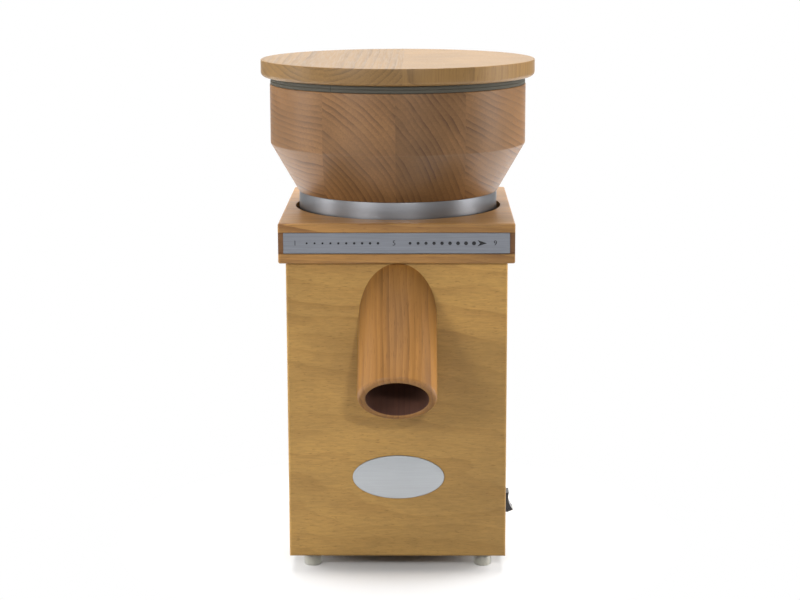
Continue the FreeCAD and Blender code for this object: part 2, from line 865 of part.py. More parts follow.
def build_chute():
    """The flour chute with its sloping floor."""
    chute = new_body("outlet_chute")
    sketch = new_sketch(chute, "YZ_Plane", 0.0)
    wall = mm.chute_wall
    outline(sketch, [
        (chute_back, chute_low - chute_skin),
        (chute_back, chute_high + wall),
        (chute_front, chute_high + wall),
        (chute_front, chute_low - chute_fall - chute_skin),
    ])
    pad(chute, sketch, mm.chute_inside_width + wall * 2, symmetric=True)
    inside = new_sketch(chute, "YZ_Plane", 0.0)
    outline(inside, [
        (chute_back + mm.overrun, chute_low + mm.overrun),
        (chute_back + mm.overrun, chute_high),
        (chute_front - mm.overrun, chute_high),
        (chute_front - mm.overrun, chute_low - chute_fall - mm.overrun),
    ])
    cut(chute, inside, mm.chute_inside_width, symmetric=True)
    place(chute)
    keep(chute, "outlet_chute")


def build_chamber():
    """The milling chamber, its guide pins and springs, and the nut that the hopper turns in."""
    outer = mm.chamber_radius + mm.chamber_wall
    chamber = turned("milling_chamber", [
        (mm.shaft_hole_radius, chamber_bottom),
        (outer, chamber_bottom),
        (outer, ledge),
        (mm.flange_radius, ledge),
        (mm.flange_radius, flange_top),
        (mm.chamber_radius, flange_top),
        (mm.chamber_radius, floor_top),
        (mm.felt_radius + mm.running_gap, floor_top),
        (mm.felt_radius + mm.running_gap, floor_top - mm.felt_thick),
        (mm.shaft_hole_radius, floor_top - mm.felt_thick),
    ])
    boss_sketch = new_sketch(chamber, "XY_Plane", boss_top)
    circle(boss_sketch, mm.boss_radius, 0.0, mm.boss_circle)
    boss = pad(chamber, boss_sketch, mm.boss_height, back=True)
    repeat(chamber, boss, 3, boss_sketch)
    pin_sketch = new_sketch(chamber, "XY_Plane", boss_top)
    circle(pin_sketch, mm.guide_pin_radius + mm.running_gap, 0.0, mm.boss_circle)
    pin_hole = cut(chamber, pin_sketch, mm.guide_pin_seat)
    repeat(chamber, pin_hole, 3, pin_sketch)
    window = new_sketch(chamber, "XZ_Plane", 0.0)
    half_window = mm.chute_inside_width / 2
    rectangle(window, -half_window, half_window, floor_top, chute_high)
    cut(chamber, window, outer + mm.overrun, along=True)
    rim_holes = new_sketch(chamber, "XY_Plane", flange_top)
    for x, y in around(mm.chamber_screw_circle, 4, 45.0):
        circle(rim_holes, mm.chamber_screw_radius + mm.screw_gap, x, y)
    cut(chamber, rim_holes, mm.flange_thick)
    sinks = new_sketch(chamber, "XY_Plane", floor_top)
    screw_holes = new_sketch(chamber, "XY_Plane", floor_top)
    for x, y in around(mm.motor_screw_circle, 4, 0.0):
        circle(sinks, mm.motor_screw_head_radius + mm.screw_gap, x, y)
        circle(screw_holes, mm.motor_screw_radius + mm.screw_gap, x, y)
    cut(chamber, sinks, mm.motor_screw_head_height + mm.motor_screw_sink)
    cut(chamber, screw_holes, mm.chamber_floor)
    place(chamber)
    keep(chamber, "milling_chamber")

    felt = turned("shaft_seal", ring(mm.shaft_radius + mm.running_gap, mm.felt_radius,
                                     floor_top - mm.felt_thick, floor_top))
    place(felt)
    keep(felt, "shaft_seal")

    pins = []
    for number, (x, y) in enumerate(around(mm.boss_circle, 3, 90.0), start=1):
        pin = turned("guide_pin_%d" % number,
                     disc(mm.guide_pin_radius, boss_top - mm.guide_pin_seat, boss_top + mm.guide_pin_height))
        place(pin, x, y)
        pins.append(pin)
    together("guide_pins", pins)

    for label, (x, y) in zip(("spring_back", "spring_left", "spring_right"), around(mm.boss_circle, 3, 90.0)):
        build_spring(label, x, y)

    nut = turned("adjusting_nut", ring(mm.thread_radius + mm.loose_gap, mm.nut_radius, flange_top, nut_top))
    holes = new_sketch(nut, "XY_Plane", nut_top)
    for x, y in around(mm.chamber_screw_circle, 4, 45.0):
        circle(holes, mm.chamber_screw_radius + mm.screw_gap, x, y)
    cut(nut, holes)
    place(nut)
    keep(nut, "adjusting_nut")

    spots = [(x, y, nut_top) for x, y in around(mm.chamber_screw_circle, 4, 45.0)]
    screws("chamber_screws", spots, False, mm.chamber_screw_head_radius, mm.chamber_screw_head_height,
           mm.chamber_screw_radius, mm.chamber_screw_length)


def build_spring(label, x, y):
    """A helical spring round a guide pin, between its boss and the stone holder's lug."""
    radius = mm.spring_radius.value
    wire = mm.spring_wire.value / 2
    low = boss_top.value + wire + mm.screw_gap.value
    high = lug_bottom.value - wire - mm.screw_gap.value
    steps = int(mm.spring_turns.value) * 4
    points = []
    for step in range(2 * steps + 1):
        angle = math.pi / 4 * step
        height = low + (high - low) * step / (2 * steps)
        points.append(FreeCAD.Vector(radius * math.cos(angle), radius * math.sin(angle), height))
    arcs = [Part.Arc(points[2 * k], points[2 * k + 1], points[2 * k + 2]).toShape() for k in range(steps)]
    path = Part.Wire(arcs)
    direction = arcs[0].tangentAt(arcs[0].FirstParameter)
    section = Part.Wire([Part.Circle(points[0], direction, wire).toShape()])
    spring = doc.addObject("Part::Feature", label)
    spring.Shape = path.makePipeShell([section], True, False)
    place(spring, x, y)
    keep(spring, label)


def build_upper_stone():
    """The upper stone in its holder, which the hopper presses down against the springs."""
    inside = mm.stone_radius + mm.screw_gap
    outside = inside + mm.holder_wall
    holder = turned("stone_holder", [
        (inside, holder_top - mm.holder_height),
        (outside, holder_top - mm.holder_height),
        (outside, holder_top),
        (inside - mm.holder_lip, holder_top),
        (inside - mm.holder_lip, upper_stone_top),
        (inside, upper_stone_top),
    ])
    lug_sketch = new_sketch(holder, "XY_Plane", holder_top)
    half = mm.lug_width / 2
    rectangle(lug_sketch, -half, half, inside + mm.holder_wall / 2, mm.lug_reach)
    lug = pad(holder, lug_sketch, mm.lug_thick, back=True)
    repeat(holder, lug, 3, lug_sketch)
    hole_sketch = new_sketch(holder, "XY_Plane", holder_top)
    circle(hole_sketch, mm.guide_pin_radius + mm.running_gap, 0.0, mm.boss_circle)
    hole = cut(holder, hole_sketch, mm.lug_thick)
    repeat(holder, hole, 3, hole_sketch)
    place(holder)
    keep(holder, "stone_holder")

    stone = turned("upper_stone", [
        (mm.eye_radius, upper_stone_bottom),
        (mm.stone_radius, upper_stone_bottom),
        (mm.stone_radius, upper_stone_top),
        (mm.eye_mouth_radius, upper_stone_top),
    ])
    furrows(stone, upper_stone_bottom, True)
    place(stone)
    keep(stone, "upper_stone")


def furrows(stone, face, upward):
    """Cuts the furrows of a stone's grinding face."""
    sketch = new_sketch(stone, "XY_Plane", face)
    rectangle(sketch, mm.eye_radius + mm.furrow_land, mm.stone_radius + mm.overrun, mm.furrow_inside / 2,
              mm.furrow_inside / 2 + mm.furrow_width)
    furrow = cut(stone, sketch, mm.furrow_depth, along=upward)
    repeat(stone, furrow, mm.furrow_count, sketch)


def build_lower_stone():
    """The driven lower stone on its carrier, with the wipers that sweep the flour to the window."""
    carrier = turned("stone_carrier", [
        (mm.shaft_radius + mm.running_gap, carrier_bottom),
        (mm.carrier_radius, carrier_bottom),
        (mm.carrier_radius, carrier_top),
        (mm.nose_radius, carrier_top),
        (mm.nose_radius, carrier_top + mm.nose_height),
        (mm.shaft_radius + mm.running_gap, carrier_top + mm.nose_height),
    ])
    reach = mm.chamber_radius - mm.wiper_gap
    half = mm.wiper_width / 2
    arm_sketch = new_sketch(carrier, "XY_Plane", carrier_bottom)
    rectangle(arm_sketch, -half, half, mm.carrier_radius - mm.overrun, reach)
    arm = pad(carrier, arm_sketch, mm.carrier_thick)
    repeat(carrier, arm, mm.wiper_count, arm_sketch)
    blade_sketch = new_sketch(carrier, "XY_Plane", carrier_top)
    rectangle(blade_sketch, -half, half, mm.stone_radius + mm.wiper_gap, reach)
    blade = pad(carrier, blade_sketch, mm.wiper_height)
    repeat(carrier, blade, mm.wiper_count, blade_sketch)
    place(carrier)
    keep(carrier, "stone_carrier")

    stone = turned("lower_stone", ring(mm.nose_radius + mm.face_gap, mm.stone_radius, carrier_top, lower_stone_top))
    furrows(stone, lower_stone_top, False)
    place(stone)
    keep(stone, "lower_stone")

    screws("carrier_screw", [(size_of(0.0), size_of(0.0), shaft_top)], False, mm.nose_screw_head_radius + mm.nose_screw_flange,
           mm.nose_screw_head_height, mm.nose_screw_radius, mm.nose_screw_length)


def build_hopper():
    """The hopper bowl, its threaded ring and collar, the seal on its rim and the lid."""
    foot = mm.hopper_foot_radius
    crease = hopper_bottom + mm.hopper_cone_height
    bowl = turned("hopper_bowl", [
        (mm.throat_radius, hopper_bottom),
        (foot, hopper_bottom),
        (mm.hopper_radius, crease),
        (mm.hopper_radius, hopper_top),
        (bowl_inside, hopper_top),
        (bowl_inside, hopper_bottom + mm.funnel_rise),
        (mm.throat_radius, hopper_bottom + mm.hopper_floor),
    ])
    holes = new_sketch(bowl, "XY_Plane", hopper_bottom)
    for x, y in around(mm.hopper_screw_circle, 4, 0.0):
        circle(holes, mm.hopper_screw_radius + mm.screw_gap, x, y)
    cut(bowl, holes, mm.hopper_screw_length, along=True)
    place(bowl)
    keep(bowl, "hopper_bowl")

    thread = turned("thread_ring", [
        (mm.throat_foot_radius, thread_bottom),
        (mm.thread_radius, thread_bottom),
        (mm.thread_radius, hopper_bottom - mm.thread_top),
        (mm.thread_top_radius, hopper_bottom - mm.thread_top),
        (mm.thread_top_radius, hopper_bottom),
        (mm.thread_radius - mm.thread_wall, hopper_bottom),
        (mm.thread_radius - mm.thread_wall, thread_bottom + mm.thread_web),
        (mm.throat_foot_radius + mm.thread_wall, thread_bottom + mm.thread_web),
        (mm.throat_radius + mm.thread_wall, hopper_bottom),
        (mm.throat_radius, hopper_bottom),
    ])
    holes = new_sketch(thread, "XY_Plane", hopper_bottom)
    for x, y in around(mm.hopper_screw_circle, 4, 0.0):
        circle(holes, mm.hopper_screw_radius + mm.screw_gap, x, y)
    cut(thread, holes, mm.thread_top)
    place(thread)
    keep(thread, "thread_ring")

    under = hopper_bottom - mm.thread_top
    spots = [(x, y, under) for x, y in around(mm.hopper_screw_circle, 4, 0.0)]
    screws("hopper_screws", spots, True, mm.hopper_screw_head_radius, mm.hopper_screw_head_height,
           mm.hopper_screw_radius, mm.hopper_screw_length)

    collar_inside = mm.thread_top_radius + mm.loose_gap
    collar = turned("collar_ring", ring(collar_inside, collar_inside + mm.collar_wall,
                                        hopper_bottom - mm.collar_height, hopper_bottom))
    place(collar)
    keep(collar, "collar_ring")

    seal = turned("seal_band", ring(mm.seal_radius - mm.seal_width, mm.seal_radius, hopper_top, lid_bottom))
    place(seal)
    keep(seal, "seal_band")

    edge = mm.lid_edge_radius
    top_edge = mm.lid_top_edge_radius
    radius = mm.lid_radius
    plug = bowl_inside - mm.loose_gap * 2
    lid = turned("lid", [
        (0.0, lid_bottom - mm.lid_plug_height),
        (plug, lid_bottom - mm.lid_plug_height),
        (plug, lid_bottom),
        (radius - edge, lid_bottom, edge, radius - edge, lid_bottom + edge),
        (radius, lid_bottom + edge),
        (radius, lid_top - top_edge, top_edge, radius - top_edge, lid_top - top_edge),
        (radius - top_edge, lid_top),
        (0.0, lid_top),
    ])
    place(lid)
    keep(lid, "lid")


def build_bearing(name, bottom):
    """A deep-groove ball bearing: two races and the balls between them."""
    top = bottom + mm.bearing_width
    bore = mm.shaft_radius + mm.running_gap
    outer = mm.bearing_radius
    track = (outer + bore) / 2
    middle = bottom + mm.bearing_width / 2
    for label, inside, outside in (
        (name + "_outer_race", outer - mm.bearing_race, outer),
        (name + "_inner_race", bore, bore + mm.bearing_race),
    ):
        race = turned(label, ring(inside, outside, bottom, top))
        groove_sketch = new_sketch(race, "XZ_Plane")
        circle(groove_sketch, mm.ball_radius + mm.running_gap, track, middle)
        before = volume_of(race)
        groove = race.newObject("PartDesign::Groove", label + "_track")
        groove.Profile = groove_sketch
        groove.ReferenceAxis = (groove_sketch, ["V_Axis"])
        groove.Angle = 360
        race.Tip = groove
        if volume_of(race) > before - 1e-3:
            raise RuntimeError("no track in %s" % label)
        place(race)
        keep(race, label)
    balls = []
    for number, (x, y) in enumerate(around(track, int(mm.ball_count.value), 0.0), start=1):
        ball = doc.addObject("Part::Sphere", "%s_ball_%d" % (name, number))
        bind(ball, "Radius", mm.ball_radius)
        place(ball, x, y, middle)
        balls.append(ball)
    together(name + "_balls", balls)


def build_motor():
    """The motor that hangs under the chamber."""
    outer = mm.motor_radius
    wall_inside = outer - mm.shield_wall
    seat = mm.bearing_radius + mm.running_gap
    boss = seat + mm.bearing_boss_wall
    bolts = around(mm.tie_bolt_circle, 4, 45.0)
    hole = mm.shaft_hole_radius

    upper = turned("upper_end_shield", [
        (hole, motor_top),
        (outer, motor_top),
        (outer, stator_top),
        (wall_inside, stator_top),
        (wall_inside, motor_top - mm.shield_plate),
        (boss, motor_top - mm.shield_plate),
        (boss, upper_bearing_bottom),
        (seat, upper_bearing_bottom),
        (seat, motor_top - mm.shield_plate),
        (hole, motor_top - mm.shield_plate),
    ])
    screw_holes = new_sketch(upper, "XY_Plane", motor_top)
    for x, y in around(mm.motor_screw_circle, 4, 0.0):
        circle(screw_holes, mm.motor_screw_radius + mm.screw_gap, x, y)
    cut(upper, screw_holes, mm.motor_screw_length)
    bolt_holes = new_sketch(upper, "XY_Plane", stator_top)
    for x, y in bolts:
        circle(bolt_holes, mm.tie_bolt_radius + mm.screw_gap, x, y)
    cut(upper, bolt_holes, mm.upper_shield_height - mm.shield_plate, along=True)
    place(upper)
    keep(upper, "upper_end_shield")

    lower = turned("lower_end_shield", [
        (hole, motor_bottom),
        (outer, motor_bottom),
        (outer, stator_bottom),
        (wall_inside, stator_bottom),
        (wall_inside, lower_bearing_bottom),
        (boss, lower_bearing_bottom),
        (boss, lower_bearing_bottom + mm.bearing_width),
        (seat, lower_bearing_bottom + mm.bearing_width),
        (seat, lower_bearing_bottom),
        (hole, lower_bearing_bottom),
    ])
    bolt_holes = new_sketch(lower, "XY_Plane", motor_bottom)
    for x, y in bolts:
        circle(bolt_holes, mm.tie_bolt_radius + mm.screw_gap, x, y)
    cut(lower, bolt_holes)
    lead_hole = new_sketch(lower, "YZ_Plane", 0.0)
    circle(lead_hole, mm.lead_radius + mm.loose_gap, 0.0, stator_bottom - mm.lead_hole_drop)
    cut(lower, lead_hole, outer + mm.overrun, along=True)
    place(lower)
    keep(lower, "lower_end_shield")

    stator = turned("stator_core", ring(mm.stator_bore_radius, outer, stator_bottom, stator_top))
    bolt_holes = new_sketch(stator, "XY_Plane", stator_top)
    for x, y in bolts:
        circle(bolt_holes, mm.tie_bolt_radius + mm.screw_gap, x, y)
    cut(stator, bolt_holes)
    slot_sketch = new_sketch(stator, "XY_Plane", stator_top)
    half = mm.slot_width / 2
    rectangle(slot_sketch, mm.slot_inside, mm.slot_outside, -half, half)
    slot = cut(stator, slot_sketch, mm.stator_height)
    repeat(stator, slot, mm.slot_count, slot_sketch)
    place(stator)
    keep(stator, "stator_core")

    liner = mm.slot_liner
    ends = mm.winding_end_height
    winding = turned("stator_winding", ring(mm.slot_inside + liner, mm.winding_end_radius,
                                            stator_top + liner, stator_top + ends))
    bar_sketch = new_sketch(winding, "XY_Plane", stator_bottom - liner)
    rectangle(bar_sketch, mm.slot_inside + mm.bar_inset, mm.slot_outside - liner, liner - half, half - liner)
    bar = pad(winding, bar_sketch, mm.stator_height + liner * 2)
    repeat(winding, bar, mm.slot_count, bar_sketch)
    end_sketch = new_sketch(winding, "XY_Plane", stator_bottom - liner)
    circle(end_sketch, mm.winding_end_radius)
    circle(end_sketch, mm.slot_inside + liner)
    pad(winding, end_sketch, ends - liner, back=True)
    place(winding)
    keep(winding, "stator_winding")

    rotor_radius = mm.stator_bore_radius - mm.air_gap
    cage = mm.rotor_ring_width
    rise = mm.rotor_ring_height
    bore = mm.shaft_radius + mm.running_gap
    rotor = turned("rotor", [
        (bore, stator_bottom),
        (rotor_radius - cage, stator_bottom),
        (rotor_radius - cage, stator_bottom - rise),
        (rotor_radius - mm.rotor_ring_inset, stator_bottom - rise),
        (rotor_radius - mm.rotor_ring_inset, stator_bottom),
        (rotor_radius, stator_bottom),
        (rotor_radius, stator_top),
        (rotor_radius - mm.rotor_ring_inset, stator_top),
        (rotor_radius - mm.rotor_ring_inset, stator_top + rise),
        (rotor_radius - cage, stator_top + rise),
        (rotor_radius - cage, stator_top),
        (bore, stator_top),
    ])
    place(rotor)
    keep(rotor, "rotor")

    shaft = turned("motor_shaft", disc(mm.shaft_radius, shaft_bottom, shaft_top))
    tapped = new_sketch(shaft, "XY_Plane", shaft_top)
    circle(tapped, mm.nose_screw_radius + mm.screw_gap)
    cut(shaft, tapped, mm.nose_screw_length + mm.overrun)
    place(shaft)
    keep(shaft, "motor_shaft")

    fan_top = motor_bottom - mm.fan_drop
    fan_bottom = fan_top - mm.fan_height
    fan = turned("cooling_fan", [
        (bore, fan_bottom),
        (mm.fan_hub_radius, fan_bottom),
        (mm.fan_hub_radius, fan_top - mm.fan_plate),
        (mm.fan_radius, fan_top - mm.fan_plate),
        (mm.fan_radius, fan_top),
        (bore, fan_top),
    ])
    blade_sketch = new_sketch(fan, "XY_Plane", fan_top - mm.fan_plate)
    half = mm.blade_thick / 2
    rectangle(blade_sketch, mm.fan_hub_radius - mm.overrun, mm.fan_radius, -half, half)
    blade = pad(fan, blade_sketch, mm.fan_height - mm.fan_plate, back=True)
    repeat(fan, blade, mm.blade_count, blade_sketch)
    place(fan)
    keep(fan, "cooling_fan")

    build_bearing("upper_bearing", upper_bearing_bottom)
    build_bearing("lower_bearing", lower_bearing_bottom)

    spots = [(x, y, motor_bottom) for x, y in bolts]
    reach = mm.lower_shield_height + mm.stator_height + mm.upper_shield_height - mm.shield_plate - mm.overrun
    screws("tie_bolts", spots, True, mm.tie_bolt_head_radius, mm.tie_bolt_head_height, mm.tie_bolt_radius, reach)
    seat_height = floor_top - mm.motor_screw_sink - mm.motor_screw_head_height
    spots = [(x, y, seat_height) for x, y in around(mm.motor_screw_circle, 4, 0.0)]
    screws("motor_screws", spots, False, mm.motor_screw_head_radius, mm.motor_screw_head_height,
           mm.motor_screw_radius, mm.motor_screw_length)


def build_electrics():
    """The run capacitor with its clip, the terminal block and the cable gland."""
    radius = mm.capacitor_radius
    clip_inside = radius + mm.screw_gap
    clip_outside = clip_inside + mm.clip_wall
    centre = base_top + clip_outside
    can = new_body("run_capacitor")
    sketch = new_sketch(can, "YZ_Plane", 0.0)
    circle(sketch, radius, 0.0, 0.0)
    pad(can, sketch, mm.capacitor_length, symmetric=True)
    blades = new_sketch(can, "YZ_Plane", mm.capacitor_length / 2)
    for side in (-1, 1):
        middle = mm.capacitor_blade_spread * side
        half = mm.capacitor_blade_width / 2
        rectangle(blades, middle - half, middle + half, -mm.capacitor_blade_thick / 2, mm.capacitor_blade_thick / 2)
    pad(can, blades, mm.capacitor_blade_length)
    place(can, 0.0, mm.capacitor_y, centre)
    keep(can, "run_capacitor")

    clip = new_body("capacitor_clip")
    sketch = new_sketch(clip, "YZ_Plane", 0.0)
    circle(sketch, clip_outside)
    circle(sketch, clip_inside)
    pad(clip, sketch, mm.clip_width, symmetric=True)
    foot = new_sketch(clip, "YZ_Plane", 0.0)
    rectangle(foot, -radius, -mm.clip_wall, -clip_outside, -clip_outside + mm.clip_wall)
    pad(clip, foot, mm.clip_width, symmetric=True)
    trim = new_sketch(clip, "YZ_Plane", 0.0)
    circle(trim, clip_inside)
    cut_round(clip, trim, mm.clip_width * 2)
    place(clip, 0.0, mm.capacitor_y, centre)
    keep(clip, "capacitor_clip")

    block = new_body("terminal_block")
    sketch = new_sketch(block, "XY_Plane", 0.0)
    half_x = mm.block_length / 2
    half_y = mm.block_depth / 2
    rectangle(sketch, -half_x, half_x, -half_y, half_y)
    pad(block, sketch, mm.block_height)
    tops = new_sketch(block, "XY_Plane", mm.block_height)
    mouths = new_sketch(block, "XZ_Plane", half_y)
    for number in (-1, 0, 1):
        x = mm.block_length / 3 * number
        circle(tops, mm.block_screw_radius, x, 0.0)
        circle(mouths, mm.block_bore_radius, x, mm.block_height / 2)
    cut(block, tops, mm.block_height / 2)
    cut(block, mouths)
    place(block, block_x, mm.block_y, base_top)
    keep(block, "terminal_block")

    gland = turned("cable_gland", [
        (mm.gland_bore_radius, -(mm.board_thick + mm.gland_tail)),
        (mm.gland_radius, -(mm.board_thick + mm.gland_tail)),
        (mm.gland_radius, 0.0),
        (mm.gland_head_radius, 0.0),
        (mm.gland_head_radius, mm.gland_head_height),
        (mm.gland_nose_radius, mm.gland_head_height),
        (mm.gland_nose_radius - mm.gland_nose_taper, mm.gland_head_height + mm.gland_nose_height),
        (mm.gland_bore_radius, mm.gland_head_height + mm.gland_nose_height),
    ])
    gland.Placement = FreeCAD.Placement(FreeCAD.Vector(), FreeCAD.Rotation(FreeCAD.Vector(1, 0, 0), -90))
    place(gland, gland_x, half_depth, mm.gland_rise)
    keep(gland, "cable_gland")

    nut = new_body("gland_nut")
    sketch = new_sketch(nut, "XZ_Plane", 0.0)
    corner = mm.gland_nut_across / root_of(size_of(3.0))
    outline(sketch, [
        (corner, 0.0),
        (corner / 2, mm.gland_nut_across / 2),
        (-corner / 2, mm.gland_nut_across / 2),
        (-corner, 0.0),
        (-corner / 2, -mm.gland_nut_across / 2),
        (corner / 2, -mm.gland_nut_across / 2),
    ])
    circle(sketch, mm.gland_radius + mm.running_gap)
    pad(nut, sketch, mm.gland_nut_height)
    place(nut, gland_x, inner_half_depth, mm.gland_rise)
    keep(nut, "gland_nut")


def cut_round(body, sketch, length):
    """Clears a round space again after a foot was added beside it."""
    feature = body.newObject("PartDesign::Pocket", body.Name + "Clear")
    feature.Profile = sketch
    bind(feature, "Length", length)
    feature.SideType = "Symmetric"
    body.Tip = feature


def build_switch():
    """The rocker switch: its housing with the bezel, its rocker and its two terminals."""
    housing = new_body("switch_housing")
    bezel = new_sketch(housing, "YZ_Plane", 0.0)
    rectangle(bezel, -mm.bezel_width / 2, mm.bezel_width / 2, -mm.bezel_height / 2, mm.bezel_height / 2)
    pad(housing, bezel, mm.bezel_thick)
    box = new_sketch(housing, "YZ_Plane", 0.0)
    rectangle(box, -mm.switch_width / 2, mm.switch_width / 2, -mm.switch_height / 2, mm.switch_height / 2)
    pad(housing, box, mm.switch_depth, back=True)
    well = new_sketch(housing, "YZ_Plane", mm.bezel_thick)
    well_y = mm.switch_width / 2 - mm.switch_wall
    well_z = mm.switch_height / 2 - mm.switch_wall
    rectangle(well, -well_y, well_y, -well_z, well_z)
    cut(housing, well, mm.switch_well)
    pivots = new_sketch(housing, "XZ_Plane", 0.0)
    circle(pivots, mm.rocker_pin_radius + mm.running_gap, mm.rocker_pivot, 0.0)
    cut(housing, pivots, mm.switch_width, symmetric=True)
    place(housing, half_width, mm.switch_y, mm.switch_rise)
    keep(housing, "switch_housing")

    rocker = new_body("switch_rocker")
    sketch = new_sketch(rocker, "XZ_Plane", 0.0)
    lip = mm.rocker_lip
    half = mm.rocker_half
    dip = mm.rocker_dip
    face_half = half - mm.rocker_slant
    sagitta = lip - dip
    face_radius = (face_half * face_half + sagitta * sagitta) / (sagitta * 2)
    outline(sketch, [
        (-mm.rocker_root, -mm.rocker_root_half),
        (mm.rocker_shoulder, -half),
        (lip, -face_half, face_radius, dip + face_radius, 0.0),
        (lip, face_half),
        (mm.rocker_shoulder, half),
        (-mm.rocker_root, mm.rocker_root_half),
    ])
    pad(rocker, sketch, mm.rocker_width, symmetric=True)
    pivot_pin = new_sketch(rocker, "XZ_Plane", 0.0)
    circle(pivot_pin, mm.rocker_pin_radius)
    pad(rocker, pivot_pin, mm.switch_width - mm.loose_gap * 2, symmetric=True)
    lean = FreeCAD.Rotation(FreeCAD.Vector(0, 1, 0), -mm.rocker_tilt.value)
    rocker.Placement = FreeCAD.Placement(FreeCAD.Vector(), lean)
    place(rocker, half_width + mm.rocker_pivot, mm.switch_y, mm.switch_rise)
    keep(rocker, "switch_rocker")

    blades = []
    for number, side in enumerate((-1, 1), start=1):
        blade = doc.addObject("Part::Box", "switch_terminal_%d" % number)
        bind(blade, "Length", mm.terminal_length)
        bind(blade, "Width", mm.terminal_width)
        bind(blade, "Height", mm.terminal_thick)
        place(blade,
              half_width - mm.switch_depth - mm.terminal_length,
              mm.switch_y - mm.terminal_width / 2,
              mm.switch_rise + mm.terminal_spread * side - mm.terminal_thick / 2)
        blades.append(blade)
    together("switch_terminals", blades)


def lead(label, route):
    """A lead along straight runs joined by tangent arcs, as large as the runs allow."""
    points = [vector(*point) for point in route]
    edges = []
    start = points[0]
    expected = 0.0
    for before, corner, after in zip(points, points[1:], points[2:]):
        inward = (corner - before).normalize()
        onward = (after - corner).normalize()
        turn = math.acos(max(-1.0, min(1.0, inward.dot(onward))))
        run = 0.45 * min((corner - before).Length, (after - corner).Length)
        enter = corner - inward * run
        leave = corner + onward * run
        radius = run / math.tan(turn / 2)
        middle_way = (onward - inward).normalize()
        centre = corner + middle_way * math.hypot(radius, run)
        middle = centre - middle_way * radius
        edges.append(Part.LineSegment(start, enter).toShape())
        edges.append(Part.Arc(enter, middle, leave).toShape())
        expected += (enter - start).Length + radius * turn
        start = leave
        print(label, "bend radius %.1f" % radius)
    edges.append(Part.LineSegment(start, points[-1]).toShape())
    expected += (points[-1] - start).Length
    path = Part.Wire(edges)
    section = Part.Wire([Part.Circle(points[0], points[1] - points[0], mm.lead_radius.value).toShape()])
    tube = doc.addObject("Part::Feature", label)
    tube.Shape = path.makePipeShell([section], True, False)
    place(tube)
    keep(tube, label)
    wanted = expected * math.pi * mm.lead_radius.value ** 2
    print(label, "length %.1f, volume ratio %.4f" % (expected, tube.Shape.Volume / wanted))


def build_leads():
    """The leads from the block to the switch and the motor."""
    blade_x = half_width - mm.switch_depth - mm.terminal_length - mm.screw_gap * 2
    block_back = mm.block_y + mm.block_depth / 2
    mouth_x = block_x + mm.block_length / 3
    mouth_z = base_top + mm.block_height / 2
    low = mm.switch_rise - mm.terminal_spread
    high = mm.switch_rise + mm.terminal_spread
    lead("switch_feed_lead", [
        (mouth_x, block_back, mouth_z),
        (mouth_x, block_back + mm.lead_exit, mouth_z),
        (blade_x - mm.lead_exit, mm.switch_y, low),
        (blade_x, mm.switch_y, low),
    ])
    hole_z = stator_bottom - mm.lead_hole_drop
    beside = (mm.motor_radius + inner_half_width) / 2
    lead("switch_motor_lead", [
        (blade_x, mm.switch_y, high),
        (blade_x - mm.lead_entry, mm.switch_y, high),
        (blade_x - mm.lead_entry / 2, mm.switch_y + mm.lead_reach, high - mm.lead_sag),
        (beside, mm.switch_y + mm.lead_reach * 2, high + mm.lead_sag),
        (beside, 0.0, hole_z),
        (mm.winding_end_radius + mm.loose_gap, 0.0, hole_z),
    ])


build_boards()
build_base()
build_head()
build_badge()
build_spout()
build_chute()
build_chamber()
build_upper_stone()
build_lower_stone()
build_hopper()
build_motor()
build_electrics()
build_switch()
build_leads()
doc.recompute()

problems = []
for thing in doc.Objects:
    if "Invalid" in thing.State or "Error" in thing.State:
        problems.append("%s: %s" % (thing.Label, thing.State))
for thing in nodes:
    if thing.Shape.isNull() or not thing.Shape.isValid() or not thing.Shape.Solids:
        problems.append("%s: bad shape" % thing.Label)
if problems:
    raise RuntimeError("; ".join(problems))

os.makedirs("parts", exist_ok=True)
for thing in nodes:
    thing.Shape.exportStep("parts/%s.step" % thing.Label)
print("%d nodes, axis at y %.2f, top at %.1f" % (len(nodes), axis_y.value, lid_top.value))
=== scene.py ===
"""Looks of the electric grain mill: wood, metal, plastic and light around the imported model."""

import logging
import math
from dataclasses import dataclass, field, replace
from enum import Enum

import bmesh
import bpy
from mathutils import Matrix, Vector


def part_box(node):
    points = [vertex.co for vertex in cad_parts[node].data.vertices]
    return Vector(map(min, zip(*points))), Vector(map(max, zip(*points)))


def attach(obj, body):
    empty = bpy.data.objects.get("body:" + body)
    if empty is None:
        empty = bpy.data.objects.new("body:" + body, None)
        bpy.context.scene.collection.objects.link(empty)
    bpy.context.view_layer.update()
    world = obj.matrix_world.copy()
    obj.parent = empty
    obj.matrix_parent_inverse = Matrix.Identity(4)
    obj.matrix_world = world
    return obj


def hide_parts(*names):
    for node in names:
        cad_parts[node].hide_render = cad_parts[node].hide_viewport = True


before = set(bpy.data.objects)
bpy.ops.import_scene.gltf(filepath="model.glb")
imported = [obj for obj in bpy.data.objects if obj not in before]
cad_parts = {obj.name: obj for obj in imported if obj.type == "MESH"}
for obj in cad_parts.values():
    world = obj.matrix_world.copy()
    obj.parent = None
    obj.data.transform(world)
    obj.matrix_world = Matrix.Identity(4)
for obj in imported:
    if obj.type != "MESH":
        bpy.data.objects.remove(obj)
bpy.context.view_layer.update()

logging.basicConfig(level=logging.INFO, format="%(message)s")
log = logging.getLogger("mill")

MM = 0.001
TOUCHING = 1e-7
Colour = tuple[float, float, float, float]
Point = tuple[float, float, float]
Outline = list[tuple[float, float]]
Ring = list[bmesh.types.BMVert]
WHITE = (1.0, 1.0, 1.0, 1.0)


